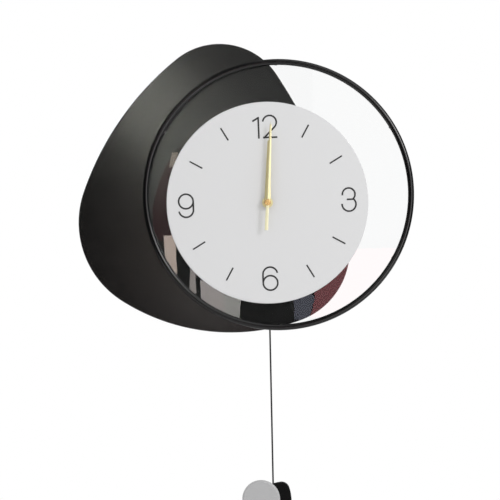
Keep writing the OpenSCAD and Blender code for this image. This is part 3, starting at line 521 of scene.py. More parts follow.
@dataclass(frozen=True)
class Laminate(Finish):
    """A small circuit board: green resist over copper tracks, with tinned lands."""

    cells: float = 330.0
    track: Colour = (0.03, 0.22, 0.1)
    land: Colour = (0.75, 0.74, 0.7)
    land_roughness: float = 0.25
    depth: float = 3e-5

    def fill(self, skin: Skin) -> None:
        """Tracks as thin cell borders, lands as dots at the cells' middles.

        Args:
            skin: The material's tree.
        """
        inputs = {"Vector": skin.place, "Scale": self.cells}
        borders = skin.put("TexVoronoi", inputs, feature="DISTANCE_TO_EDGE", distance="EUCLIDEAN")
        track = skin.spread(borders.outputs["Distance"], 0.05, 0.09, 1, 0)
        dots = skin.put("TexVoronoi", inputs, feature="F1")
        land = skin.spread(dots.outputs["Distance"], 0.16, 0.2, 1, 0)
        green = skin.blend(track, (*self.colour, 1), (*self.track, 1))
        skin.dress({
            "Base Color": skin.blend(land, green, (*self.land, 1)),
            "Metallic": land,
            "Roughness": skin.spread(land, 0, 1, self.roughness, self.land_roughness),
        })
        skin.bump(skin.math("MAXIMUM", track, land), self.depth)


@dataclass(frozen=True)
class CellWrap(Finish):
    """A battery's shrink sleeve in two tones, with bare metal at its ends.

    The sleeve's ends and bands are shares of the way from left to right.
    """

    left: float = 0.0
    right: float = 1.0
    sleeve: Spot = (0.03, 0.96)
    line: float = 0.7
    band: float = 0.72
    bare: Colour = (0.7, 0.7, 0.68)
    line_tone: Colour = (0.55, 0.56, 0.55)
    band_tone: Colour = (0.5, 0.36, 0.09)

    def fill(self, skin: Skin) -> None:
        """Bands along X: bare end, dark body, pale line, band near the button, bare end.

        Args:
            skin: The material's tree.
        """
        start, end = self.sleeve
        x = skin.put("SeparateXYZ", {0: skin.place}).outputs["X"]
        share = skin.spread(x, self.left * MM, self.right * MM)
        bands = skin.put("ValToRGB", {0: share})
        ramp = bands.color_ramp
        ramp.interpolation = "CONSTANT"
        stops = [(0.0, self.bare), (start, self.colour), (self.line, self.line_tone),
                 (self.band, self.band_tone), (end, self.bare)]
        ramp.elements[0].position, ramp.elements[1].position = stops[0][0], stops[1][0]
        for position, _ in stops[2:]:
            ramp.elements.new(position)
        for element, (_, tone) in zip(ramp.elements, stops, strict=True):
            element.color = (*tone, 1)
        scuff = skin.spread(skin.texture(260.0, 4), 0.4, 0.7, self.roughness, self.roughness + 0.2)
        ends = skin.math("ADD", skin.math("LESS_THAN", share, start), skin.math("GREATER_THAN", share, end))
        skin.dress({"Base Color": bands.outputs[0], "Metallic": ends, "Roughness": scuff})
        skin.bump(skin.texture(500.0, 2), 8e-6)


PANEL_LACQUER = Coat("panel_lacquer", (0.0035, 0.0035, 0.0036), 0.18, relief_scale=420, relief_depth=5e-6,
                     worn=(0.12, 0.12, 0.12), gloss_drift=0.1, dusty=0.03)
RING_COAT = Coat("ring_coat", (0.002, 0.002, 0.0022), 0.2, relief_scale=900, relief_depth=4e-6, dusty=0.03)
DIAL_PAINT = Coat("dial_paint", (0.76, 0.76, 0.765), 0.62, specular=0.3, relief_scale=1500,
                  relief_depth=5e-6, tone=0.015, worn=(0.6, 0.6, 0.6), rub=0.15, dusty=0.02)
DIAL_PRINT = Coat("dial_print", (0.018, 0.018, 0.019), 0.55, relief_scale=2500, relief_depth=4e-6, tone=0.08)
ACRYLIC = Clear("clear_acrylic", (0.99, 0.995, 0.995), 0.01)
GILT = Metal("gilt_hand", (0.88, 0.79, 0.44), 0.4, run=Grain.UPRIGHT, depth=5e-7, stain=(0.8, 0.62, 0.3),
             stained=0.1, metallic=0.6)
GILT_PALE = Metal("gilt_pale", (0.93, 0.89, 0.6), 0.35, run=Grain.UPRIGHT, depth=5e-7,
                  stain=(0.85, 0.72, 0.4), stained=0.1, metallic=0.3)
GILT_CAP = Metal("gilt_cap", (0.92, 0.6, 0.24), 0.28, depth=8e-7, stain=(0.75, 0.45, 0.15), stained=0.12,
                 metallic=0.7)
ROD_COAT = Coat("rod_coat", (0.004, 0.004, 0.004), 0.38, relief_scale=1500, relief_depth=4e-6)
BOB_GREY = Coat("bob_grey", (0.48, 0.48, 0.485), 0.42, relief_scale=800, relief_depth=5e-6, tone=0.03,
                worn=(0.65, 0.65, 0.65))
BOB_BLACK = Coat("bob_black", (0.0015, 0.0015, 0.0015), 0.4, specular=0.12, dusty=0.01, relief_depth=5e-6)
ZINC = Metal("zinc_steel", (0.62, 0.63, 0.64), 0.3, run=Grain.ACROSS, stain=(0.45, 0.42, 0.36), stained=0.35)
PILLAR = Metal("pillar_aluminium", (0.8, 0.8, 0.81), 0.28, run=Grain.DEEP, stained=0.1)
FOAM = Coat("pad_foam", (0.85, 0.85, 0.82), 0.9, specular=0.2, relief_scale=2600, relief_depth=6e-5,
            grain=0.8)
POST_PLASTIC = Coat("post_plastic", (0.02, 0.02, 0.021), 0.5, relief_scale=2400, relief_depth=1.2e-5)
RUBBER = Coat("foot_rubber", (0.018, 0.018, 0.018), 0.75, specular=0.35, relief_scale=1600,
              relief_depth=2e-5, dusty=0.2)
CASE = Coat("case_plastic", (0.012, 0.012, 0.0125), 0.48, relief_scale=3200, relief_depth=2.2e-5, grain=0.6)
NATURAL = Coat("natural_plastic", (0.78, 0.77, 0.72), 0.38, relief_scale=1800, relief_depth=5e-6, tone=0.04,
               soft=0.15, worn=(0.85, 0.84, 0.8))
BRASS = Metal("bright_brass", (0.78, 0.58, 0.25), 0.24, stain=(0.45, 0.28, 0.1), stained=0.3)
BOARD = Laminate("board_laminate", (0.008, 0.09, 0.035), 0.35)
COPPER = Winding("copper_wire", (0.62, 0.2, 0.07), 0.3)
STEEL = Metal("bearing_steel", (0.66, 0.66, 0.67), 0.18, run=Grain.DEEP, stained=0.08)
FERRITE = Coat("magnet_ferrite", (0.045, 0.045, 0.047), 0.5, relief_scale=2600, relief_depth=1.5e-5)

CARRIED: dict[str, Finish] = {
    "dial_numerals": DIAL_PRINT, "hour_ticks": DIAL_PRINT, "dial_pads": FOAM,
    "center_spacer": NATURAL, "case_gasket": RUBBER, "contact_plus": ZINC, "contact_minus": ZINC,
    "circuit_board": BOARD, "quartz_crystal": STEEL, "motor_stator": ZINC, "coil_bobbin": NATURAL,
    "coil_winding": COPPER, "train_bridge": NATURAL, "drive_coil": COPPER, "lever_pivot": STEEL,
    "rotor": FERRITE, "rotor_pinion": NATURAL, "fifth_wheel": NATURAL, "seconds_wheel": NATURAL,
    "third_wheel": NATURAL, "center_wheel": NATURAL, "minute_arbor": BRASS, "setting_wheel": NATURAL,
    "hour_wheel": NATURAL, "pendulum_lever": NATURAL, "drive_magnet": FERRITE,
}


# ---------- surfaces ----------


def round_angles(count: int) -> np.ndarray:
    """Gives so many angles evenly round a circle, from nought."""
    return np.linspace(0, 2 * np.pi, count, endpoint=False)


def filleted(corners: list[Point], closed: bool = False, steps: int = 5) -> np.ndarray:
    """Rounds the corners of a profile.

    A corner with radius r between the unit directions a and b to its neighbours becomes an arc
    about corner + (a + b) / |a + b| * r / sin(half), where half is half the angle between a and b.
    A support point on each side keeps the flats flat under smooth shading.

    Args:
        corners: (first, second, radius) of each corner.
        closed: Whether the last corner joins the first.
        steps: Points on each arc, less one.

    Returns:
        Rows of (first, second, edge), where edge is 1 on the arcs.
    """
    support = 0.3
    rows: list[np.ndarray] = []
    count = len(corners)
    for i, (x, y, radius) in enumerate(corners):
        here = np.array([x, y])
        if radius <= 0 or (not closed and i in (0, count - 1)):
            rows.append(np.array([[x, y, 0.0]]))
            continue
        before, after = (np.array(corners[(i + k) % count][:2]) - here for k in (-1, 1))
        a, b = before / np.linalg.norm(before), after / np.linalg.norm(after)
        half = math.acos(float(np.clip(a @ b, -1, 1))) / 2
        centre = here + (a + b) / np.linalg.norm(a + b) * radius / math.sin(half)
        start, stop = (here + d * radius / math.tan(half) - centre for d in (a, b))
        span = math.pi - 2 * half
        s = np.linspace(0, 1, steps + 1)[:, None]
        arc = centre + (np.sin((1 - s) * span) * start + np.sin(s * span) * stop) / math.sin(span)
        flat = [np.append(end + d * radius * support, 0.0)[None] for end, d in ((arc[0], a), (arc[-1], b))]
        rows += [flat[0], np.column_stack([arc, np.ones(steps + 1)]), flat[1]]
    if closed:
        rows.append(rows[0][:1])
    return np.concatenate(rows)


class Shell:
    """The surfaces of one piece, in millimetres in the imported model's frame."""

    def __init__(self) -> None:
        """Starts with no surface."""
        self.points: list[np.ndarray] = []
        self.faces: list[np.ndarray] = []
        self.edges: list[np.ndarray] = []
        self.count = 0

    def add(self, points: np.ndarray, faces: np.ndarray, edge: np.ndarray | float = 0.0) -> "Shell":
        """Adds a surface.

        Args:
            points: Its points, (n, 3) when laid flat.
            faces: Its faces, which number the points from nought.
            edge: Edge weight of each point, or one for all.

        Returns:
            The shell.
        """
        self.points.append(points.reshape(-1, 3))
        self.faces.append(faces + self.count)
        self.edges.append(np.broadcast_to(edge, (len(self.points[-1]),)).astype(float))
        self.count += len(self.points[-1])
        return self

    def grid(self, points: np.ndarray, edge: np.ndarray | float = 0.0) -> "Shell":
        """Adds a surface given as rows and columns of points, joined round along each row.

        The point at row i and column j joins the quad (i, j), (i, j + 1), (i + 1, j + 1), (i + 1, j).

        Args:
            points: Array (rows, columns, 3).
            edge: Edge weight of each row, or one for all.

        Returns:
            The shell.
        """
        rows, columns = points.shape[:2]
        r, c = np.arange(rows - 1)[:, None] * columns, np.arange(columns)[None, :]
        n = (c + 1) % columns
        faces = np.stack([r + c, r + n, r + n + columns, r + c + columns], axis=-1).reshape(-1, 4)
        return self.add(points, faces, np.repeat(np.broadcast_to(edge, (rows,)), columns))

    def turn(self, profile: np.ndarray, centre: Spot = SHAFT, segments: int = 128) -> "Shell":
        """Adds a profile turned about a shaft along Y.

        A point is the centre plus radius times (cos a, sin a) across and up, at the profile's depth.

        Args:
            profile: Rows of (radius, depth, edge).
            centre: The shaft's place.
            segments: Steps round the shaft.

        Returns:
            The shell.
        """
        angle = round_angles(segments)
        radius, depth = profile[:, 0, None], profile[:, 1, None]
        across = centre[0] + radius * np.cos(angle)
        up = centre[1] + radius * np.sin(angle)
        return self.grid(np.stack([across, depth + 0 * angle, up], axis=-1), profile[:, 2])

    def plate(self, outline: np.ndarray, outward: np.ndarray, holes: Iterable[tuple[Spot, float]],
              depth: Spot, rounding: float) -> "Shell":
        """Adds a flat plate with rounded edges and round holes.

        The rim is the outline drawn in along its outward direction by r * (1 - cos a) while the
        depth goes r * (1 - sin a) in from the face, with a from nought to a right angle.

        Args:
            outline: Points (n, 2) of the edge, anticlockwise as seen from the front.
            outward: Unit directions out of the edge at those points.
            holes: Places and radii of the holes.
            depth: Depth of the front and of the rear face.
            rounding: Radius of the rounded edges.

        Returns:
            The shell.
        """
        steps, sides, support, apart = 7, 48, 0.4, 1e-6
        front, rear = depth
        a = np.linspace(0, np.pi / 2, steps)
        sunk, drawn = rounding * (1 - np.sin(a)), rounding * (1 - np.cos(a))
        inset = np.concatenate([[rounding + support], sunk, drawn, [rounding + support]])
        level = np.concatenate([[front], front + drawn, rear - sunk, [rear]])
        flat = outline[None] - inset[:, None, None] * outward[None]
        rim = np.stack([flat[..., 0], np.broadcast_to(level[:, None], flat.shape[:2]), flat[..., 1]], axis=-1)
        self.grid(rim, np.concatenate([[0.0], np.ones(2 * steps), [0.0]]))
        angle = round_angles(sides)
        loops = [flat[0]]
        for (x, z), radius in holes:
            loops.append(np.column_stack([x + radius * np.cos(angle), z + radius * np.sin(angle)]))
            self.turn(np.array([[radius, front, 0.0], [radius, rear, 0.0]]), (x, z), sides)
        ends = np.cumsum([0, *(len(loop) for loop in loops)])
        numbers = [list(range(a, b)) for a, b in zip(ends[:-1], ends[1:], strict=True)]
        flat_points = [Vector(p) for p in np.concatenate(loops)]
        found, _, faces, *_ = delaunay_2d_cdt(flat_points, [], numbers, HOLES_OPEN, apart)
        cap, triangles = np.array([tuple(p) for p in found]), np.array(faces)
        for y in depth:
            self.add(np.column_stack([cap[:, 0], np.full(len(cap), y), cap[:, 1]]), triangles)
        return self

    def piece(self, name: str, finish: Finish, body: str, *replaced: str, sharp: float = 40.0,
              turn: float = 0.0) -> bpy.types.Object:
        """Makes the piece's object.

        Args:
            name: The piece's name.
            finish: Its finish, whose name is also the record's slot.
            body: The body that it rides on.
            replaced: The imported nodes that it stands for.
            sharp: Edges sharper than this many degrees stay sharp.
            turn: Clockwise turn about the hand shaft, in degrees.

        Returns:
            The object.
        """
        points = np.concatenate(self.points)
        if turn:
            x, z = points[:, 0] - SHAFT[0], points[:, 2] - SHAFT[1]
            c, s = math.cos(math.radians(turn)), math.sin(math.radians(turn))
            points = np.column_stack([SHAFT[0] + x * c + z * s, points[:, 1], SHAFT[1] - x * s + z * c])
        mesh = bpy.data.meshes.new(name)
        faces = [row for block in self.faces for row in block.tolist()]
        mesh.from_pydata((points * MM).tolist(), [], faces)
        edge = mesh.attributes.new("edge", "FLOAT", "POINT")
        edge.data.foreach_set("value", np.concatenate(self.edges).astype(np.float32))
        tidy = bmesh.new()
        tidy.from_mesh(mesh)
        bmesh.ops.remove_doubles(tidy, verts=tidy.verts, dist=MERGE)
        bmesh.ops.recalc_face_normals(tidy, faces=tidy.faces)
        tidy.to_mesh(mesh)
        tidy.free()
        mesh.shade_smooth()
        mesh.set_sharp_from_angle(angle=math.radians(sharp))
        return settle(bpy.data.objects.new(name, mesh), finish, body, *replaced)


def settle(piece: bpy.types.Object, finish: Finish, body: str, *replaced: str) -> bpy.types.Object:
    """Dresses a new piece, rides it on its body and reports it.

    Args:
        piece: The new object.
        finish: Its finish, whose name is also the record's slot.
        body: The body that it rides on.
        replaced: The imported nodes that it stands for.

    Returns:
        The object.
    """
    bpy.context.scene.collection.objects.link(piece)
    piece.data.materials.clear()
    piece.data.materials.append(finish.material())
    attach(piece, body)
    if replaced:
        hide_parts(*replaced)
    LOG.info("%s: %d faces on %s", piece.name, len(piece.data.polygons), body)
    return piece


def soften(fixings: dict[str, tuple[Finish, float]], body: str = "clock_body") -> None:
    """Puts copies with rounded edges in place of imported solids.

    Args:
        fixings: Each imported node, with its finish and the width of its rounding in millimetres.
        body: The body that they ride on.
    """
    flat_angle, round_angle = math.radians(0.5), math.radians(35)
    for node, (finish, width) in fixings.items():
        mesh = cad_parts[node].data.copy()
        mesh.name = node + "_soft"
        tidy = bmesh.new()
        tidy.from_mesh(mesh)
        bmesh.ops.remove_doubles(tidy, verts=tidy.verts, dist=WELD)
        bmesh.ops.dissolve_limit(tidy, angle_limit=flat_angle, verts=tidy.verts, edges=tidy.edges)
        tidy.to_mesh(mesh)
        tidy.free()
        mesh.shade_smooth()
        piece = bpy.data.objects.new(node + "_soft", mesh)
        bevel = piece.modifiers.new("rounded_edges", "BEVEL")
        bevel.width, bevel.segments = width * MM, 2
        bevel.limit_method, bevel.angle_limit = "ANGLE", round_angle
        bevel.harden_normals = True
        settle(piece, finish, body, node)


# ---------- sub-assemblies ----------


@dataclass
class Pebble:
    """Three rounded corners joined by three long arcs, anticlockwise as seen from the front."""

    corners: tuple[Spot, Spot, Spot]
    radii: tuple[float, float, float]
    sides: tuple[float, float, float]

    def side_centres(self) -> list[np.ndarray]:
        """Finds the centres of the long arcs.

        A long arc of radius b touches both its corner circles from outside, so its centre lies s
        along the line between them and h to its left, with s = (d^2 + (b - r1)^2 - (b - r2)^2) / 2d.

        Returns:
            The three centres, from the hand shaft.
        """
        centres = []
        for i in range(3):
            j = (i + 1) % 3
            a, b = np.array(self.corners[i], float), np.array(self.corners[j], float)
            inner, outer = self.sides[i] - self.radii[i], self.sides[i] - self.radii[j]
            d = float(np.linalg.norm(b - a))
            u = (b - a) / d
            s = (d * d + inner**2 - outer**2) / (2 * d)
            h = math.sqrt(inner**2 - s * s)
            centres.append(a + s * u + h * np.array([-u[1], u[0]]))
        return centres

    def outline(self, step: float) -> tuple[np.ndarray, np.ndarray]:
        """Walks the six arcs.

        Args:
            step: Distance between points.

        Returns:
            Points and outward directions, both (n, 2), in the frame.
        """
        corner, centres = np.array(self.corners, float), self.side_centres()
        points, outward = [], []
        for i in range(3):
            before, after = corner[i] - centres[i - 1], corner[i] - centres[i]
            following = corner[(i + 1) % 3] - centres[i]
            for centre, radius, start, stop in (
                (corner[i], self.radii[i], before, after),
                (centres[i], self.sides[i], after, following),
            ):
                a, b = (math.atan2(v[1], v[0]) for v in (start, stop))
                sweep = (b - a) % (2 * math.pi)
                angle = a + np.linspace(0, sweep, max(4, math.ceil(radius * sweep / step)), endpoint=False)
                direction = np.column_stack([np.cos(angle), np.sin(angle)])
                points.append(centre + radius * direction)
                outward.append(direction)
        return np.concatenate(points) + np.array(SHAFT), np.concatenate(outward)


@dataclass
class BackPanel:
    """The satin pebble panel with its softened edge."""

    shape: Pebble = field(default_factory=lambda: Pebble(
        ((-68.5, 137.0), (-143.5, -26.0), (10.5, -71.0)), (102.0, 139.0, 111.0), (440.0, 304.0, 790.0)))
    rounding: float = 1.1
    screws: tuple[Spot, ...] = ((-85.0, 75.0), (35.0, 75.0), (-85.0, -75.0), (75.0, -75.0))
    screw_hole: float = 1.65
    shaft_hole: float = 4.15
    step: float = 2.0

    def build(self) -> None:
        """Makes the panel in place of its plain solid."""
        outline, outward = self.shape.outline(self.step)
        holes = [(SHAFT, self.shaft_hole), *((p, self.screw_hole) for p in about_shaft(self.screws))]
        shell = Shell().plate(outline, outward, holes, depths("back_panel"), self.rounding)
        shell.piece("panel", PANEL_LACQUER, "clock_body", "back_panel")


@dataclass
class RingAndDisc:
    """The round tube ring with its studs and nuts, and what holds the clear disc."""

    centre: Spot = field(default_factory=lambda: middle("ring_frame"))
    radius: float = field(default_factory=lambda: half_width("ring_frame"))
    tube: float = 9.0
    studs: int = 6
    stud: float = 3.0
    stud_inset: float = 1.5
    stud_reach_rear: float = 2.8
    disc_inset: float = 1.0
    shaft_hole: float = 4.15
    polish: float = 0.35
    segments: int = 512

    def build_disc(self) -> None:
        """Makes the clear disc: a round plate with a polished edge and a hole for the hand shafts."""
        angle = round_angles(self.segments)
        outward = np.column_stack([np.cos(angle), np.sin(angle)])
        outline = np.array(self.centre) + (self.radius - self.disc_inset) * outward
        shell = Shell().plate(outline, outward, [(SHAFT, self.shaft_hole)], depths("clear_disc"), self.polish)
        shell.piece("acrylic_disc", ACRYLIC, "clock_body", "clear_disc").visible_shadow = False

    def build(self) -> None:
        """Makes the ring and the disc, and rounds the edges of the fixings."""
        self.build_disc()
        line, depth = self.radius - self.tube / 2, depths("ring_frame")[0] + self.tube / 2
        shell = Shell().turn(self.section(line, depth), self.centre, self.segments)
        reach = line - self.stud_inset
        rear = depths("clear_disc")[1] + self.stud_reach_rear
        half = self.stud / 2
        stud = filleted([(half, depth, 0), (half, rear, 0.3), (0, rear, 0)], steps=2)
        for a in np.radians(90 + 360 / self.studs * np.arange(self.studs)):
            shell.turn(stud, (self.centre[0] + reach * math.cos(a), self.centre[1] + reach * math.sin(a)), 24)
        shell.piece("ring", RING_COAT, "clock_body", "ring_frame")
        soften({"ring_nuts": (ZINC, 0.12), "standoff_nuts": (ZINC, 0.12), "standoff_screws": (ZINC, 0.12),
                "standoffs": (PILLAR, 0.3)})

    def section(self, line: float, depth: float) -> np.ndarray:
        """Gives the tube's round section: line + r cos a from the ring's centre, depth + r sin a deep."""
        a, r = np.linspace(0, 2 * np.pi, 49), self.tube / 2
        return np.column_stack([line + r * np.cos(a), depth + r * np.sin(a), 0 * a])


@dataclass
class Dial:
    """The round dial with its rounded edge, and the washer and nut that hold it."""

    diameter: float = 300.0
    rounding: float = 1.1
    hole: float = 4.15

    def build(self) -> None:
        """Makes the dial in place of its plain solid."""
        front, rear = depths("dial_disc")
        radius = self.diameter / 2
        profile = filleted([(self.hole, rear, 0), (radius, rear, 0.2), (radius, front, self.rounding),
                            (self.hole, front, 0.1)], closed=True, steps=6)
        Shell().turn(profile, SHAFT, 360).piece("dial", DIAL_PAINT, "clock_body", "dial_disc")
        soften({"front_washer": (BRASS, 0.1), "hex_nut": (BRASS, 0.25), "threaded_bush": (BRASS, 0.1)})


@dataclass
class Hand:
    """A straight hand with a ridge along its middle and a round hub.

    Its width goes evenly from hub to tip, and its height follows the width.
    """

    node: str
    body: str
    length: float
    width: float
    tip: float
    hub: float
    bore: float
    collet: float
    thickness: float = 1.0
    lean: float = 3.5
    brim: float = 0.16
    root_step: float = 4.0
    tip_step: float = 2.5
    tip_round: float = 0.5
    tip_share: float = 0.45
    stations: int = 40

    def section(self) -> np.ndarray:
        """Gives the half-width shares and height shares round the hand, rear left to rear right."""
        return np.array([[-0.5, 0.0], [-0.5, self.brim], [-0.06, 0.95], [0.0, 1.0], [0.06, 0.95],
                         [0.5, self.brim], [0.5, 0.0]])

    def build(self) -> None:
        """Makes the hand in place of its plain solid."""
        front, high = depths(self.node)
        rear = front + self.thickness
        blade_steps = np.linspace(self.root_step, self.length - self.tip_step, self.stations)
        along = np.concatenate([[0.0], blade_steps, [self.length - self.tip_round, self.length]])
        width = self.width + (self.tip - self.width) * along / self.length
        width[-1] *= self.tip_share
        share = self.section()
        x = width[:, None] * share[None, :, 0]
        y = rear - self.thickness * (width / self.width)[:, None] * share[None, :, 1]
        z = np.broadcast_to(along[:, None], x.shape)
        blade = np.stack([SHAFT[0] + x, y, SHAFT[1] + z], axis=-1)
        shell = Shell().grid(blade)
        shell.add(blade[-1], np.arange(len(share))[None])
        radius = self.hub / 2
        hub = filleted([(self.bore, front, 0.1), (radius, front, 0.3), (radius, rear, 0.15),
                        (self.collet, rear, 0), (self.collet, high, 0.15), (self.bore, high, 0)], closed=True)
        shell.turn(hub, SHAFT, 96)
        shell.piece(self.node + "_gilt", GILT, self.body, self.node, turn=self.lean, sharp=20)


@dataclass
class SecondHand:
    """The needle, its widening tail and its boss, with the domed cap in front."""

    length: float = 120.0
    width: float = 1.2
    taper: float = 0.5
    tail: float = 41.0
    tail_width: float = 5.0
    tail_root: float = 4.2
    boss: float = 4.0
    pipe: float = 1.8
    bore: float = 0.75
    thickness: float = 0.6
    cap: float = 9.4
    cap_edge: float = 0.9
    lean: float = 3.5

    def bar(self, shell: Shell, stations: np.ndarray, widths: np.ndarray, front: float) -> None:
        """Adds a thin bar with a slightly raised middle.

        Args:
            shell: The hand's shell.
            stations: Distances up from the shaft.
            widths: Widths at those distances.
            front: Depth of the bar's front.
        """
        share = np.array([[-0.5, 0.0], [-0.5, 0.6], [-0.2, 0.95], [0.2, 0.95], [0.5, 0.6], [0.5, 0.0]])
        x = widths[:, None] * share[None, :, 0]
        y = front + self.thickness * (1 - share[None, :, 1]) + 0 * x
        z = np.broadcast_to(stations[:, None], x.shape)
        bar = np.stack([SHAFT[0] + x, y, SHAFT[1] + z], axis=-1)
        shell.grid(bar)
        for end in (bar[0], bar[-1]):
            shell.add(end, np.arange(len(share))[None])

    def build(self) -> None:
        """Makes the second hand and its cap in place of their plain solids."""
        front, high = depths("second_hand")
        rear = front + self.thickness
        shell = Shell()
        up = np.linspace(0, self.length, 24)
        self.bar(shell, up, self.width * (1 - self.taper * up / self.length), front)
        down = np.linspace(-self.tail, 0, 12)
        self.bar(shell, down, self.tail_root + (self.tail_width - self.tail_root) * -down / self.tail, front)
        boss = filleted([(self.bore, front, 0), (self.boss, front, 0.15), (self.boss, rear, 0.1),
                         (self.pipe, rear, 0), (self.pipe, high, 0.1), (self.bore, high, 0)],
                        closed=True, steps=3)
        shell.turn(boss, SHAFT, 64)
        piece = shell.piece("second_hand_gilt", GILT_PALE, "seconds_set", "second_hand", turn=self.lean,
                            sharp=25)
        self.build_cap()

    def build_cap(self) -> None:
        """Makes the domed cap."""
        front, rear = depths("hand_cap")
        radius = self.cap / 2
        dome = filleted([(0, rear, 0), (radius, rear, 0.15), (radius, front + self.cap_edge, 0.5),
                         (radius - self.cap_edge, front, 0.8), (0, front, 0)], steps=6)
        Shell().turn(dome, SHAFT, 96).piece("cap", GILT_CAP, "seconds_set", "hand_cap")


@dataclass
class Bob:
    """The pendulum's rod, round front piece, pebble rear piece and balance weight."""

    rod: float = 2.5
    rod_chamfer: float = 0.3
    rod_start: float = 4.0
    eye: float = 3.4
    eye_neck: float = 2.0
    eye_thickness: float = 1.8
    pin_hole: float = 1.25
    disc: float = 56.8
    rim: float = 2.4
    slope: float = 1.44
    pebble: Pebble = field(default_factory=lambda: Pebble(
        ((12.5, -431.2), (-20.0, -447.0), (3.0, -461.0)), (12.3, 15.0, 22.5), (90.0, 60.0, 70.0)))
    pebble_rounding: float = 0.8
    dimple: Spot = (2.0, 2.2)
    dimple_depth: float = 0.5

    def build(self) -> None:
        """Makes the four pieces in place of their plain solids."""
        self.build_rod()
        front, rear = depths("bob_disc")
        radius = self.disc / 2
        profile = filleted([(0, rear, 0), (radius, rear, 0.2), (radius, front + self.slope, 0.5),
                            (radius - self.rim, front, 0.5), (0, front, 0)], steps=4)
        shell = Shell().turn(profile, middle("bob_disc"), 256)
        shell.piece("bob_front", BOB_GREY, "pendulum", "bob_disc")
        outline, outward = self.pebble.outline(0.6)
        shell = Shell().plate(outline, outward, [], depths("bob_pebble"), self.pebble_rounding)
        shell.piece("bob_back", BOB_BLACK, "pendulum", "bob_pebble")
        self.build_weight()
        soften({"bob_screws": (ZINC, 0.08)}, "pendulum")

    def build_weight(self) -> None:
        """Makes the balance weight: a turned plate with a dimple at the middle of its back."""
        front, rear = depths("bob_weight")
        low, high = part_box("bob_weight")
        radius, centre = (high.x - low.x) / 2 / MM, middle("bob_weight")
        floor = rear - self.dimple_depth
        profile = filleted([(0, front, 0), (radius, front, 0.1), (radius, rear, 0.5),
                            (self.dimple[1], rear, 0), (self.dimple[0], floor, 0), (0, floor, 0)], steps=3)
        zinc = Metal("weight_zinc", ZINC.colour, 0.28, centre=centre, stained=0.3, line_scale=3000)
        shell = Shell().turn(profile, centre, 128)
        piece = shell.piece("balance_weight", zinc, "pendulum", "bob_weight")

    def build_rod(self) -> None:
        """Makes the rod, a round bar down from a flat eye."""
        low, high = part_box("pendulum_rod")
        x, foot = middle("pendulum_rod")[0], low.z / MM
        depth = (low.y + high.y) / 2 / MM
        eye_up = high.z / MM - self.eye
        angle = round_angles(32)
        radius = self.rod / 2
        stations = np.concatenate([[foot, foot, foot + self.rod_chamfer],
                                   np.linspace(foot + self.rod_start, eye_up - self.eye_neck, 60)])
        size = np.full(len(stations), radius)
        size[0], size[1] = 0, radius - self.rod_chamfer
        bar = np.stack([x + size[:, None] * np.cos(angle), depth + size[:, None] * np.sin(angle),
                        np.broadcast_to(stations[:, None], (len(stations), len(angle)))], axis=-1)
        shell = Shell().grid(bar)
        half = self.eye_thickness / 2
        eye = filleted([(self.pin_hole, depth - half, 0.3), (self.eye, depth - half, 0.6),
                        (self.eye, depth + half, 0.6), (self.pin_hole, depth + half, 0.3)], closed=True)
        shell.turn(eye, (x, eye_up), 64)
        shell.piece("rod", ROD_COAT, "pendulum", "pendulum_rod")


@dataclass
class Movement:
    """The quartz movement's case, fixings and battery, and what hangs the clock on the wall."""

    battery: float = 14.2
    button: float = 2.7
    button_height: float = 1.0
    seal: Spot = (5.0, 5.3)
    seal_depth: float = 0.2
    washer: float = 5.2
    washer_depth: float = 0.25

    def build(self) -> None:
        """Rounds the moulded case's edges and makes the battery."""
        soften({"movement_case": (CASE, 0.25), "movement_cover": (CASE, 0.2), "cover_screws": (ZINC, 0.08),
                "bridge_screws": (ZINC, 0.06)})
        soften({"setting_knob": (CASE, 0.06)}, "setting_set")
        soften({"wall_hanger": (ZINC, 0.25), "hanger_screws": (ZINC, 0.1), "foot_posts": (POST_PLASTIC, 0.4),
                "foot_tips": (RUBBER, 0.5)})
        self.build_battery()

    def build_battery(self) -> None:
        """Makes the battery: a can turned about X with a rolled sleeve edge and a button."""
        low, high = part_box("battery")
        left, right = low.x / MM, high.x / MM
        depth, up = (low.y + high.y) / 2 / MM, (low.z + high.z) / 2 / MM
        radius, end = self.battery / 2, right - self.button_height
        foot, top = left + self.seal_depth, end - self.washer_depth
        profile = filleted([(0, foot, 0), (self.seal[0], foot, 0.1), (self.seal[1], left, 0.1),
                            (radius, left, 0.7), (radius, end, 0.7), (self.washer, end, 0.1),
                            (self.seal[0], top, 0.1), (self.button, top, 0.1), (self.button, right, 0.4),
                            (0, right, 0)], steps=4)
        angle = round_angles(96)
        size, along = profile[:, 0, None], profile[:, 1, None]
        points = np.stack([along + 0 * angle, depth + size * np.cos(angle), up + size * np.sin(angle)],
                          axis=-1)
        wrap = CellWrap("cell_can", (0.02, 0.05, 0.045), 0.3, left=left, right=right)
        Shell().grid(points, profile[:, 2]).piece("cell", wrap, "clock_body", "battery")


def dress_carried() -> None:
    """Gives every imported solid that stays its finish."""
    for node, finish in CARRIED.items():
        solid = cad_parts[node]
        if not solid.material_slots:
            solid.data.materials.append(None)
        for slot in solid.material_slots:
            slot.link = "OBJECT"
            slot.material = finish.material()
        LOG.info("%s: packed solid in %s", node, finish.name)


# ---------- studio ----------


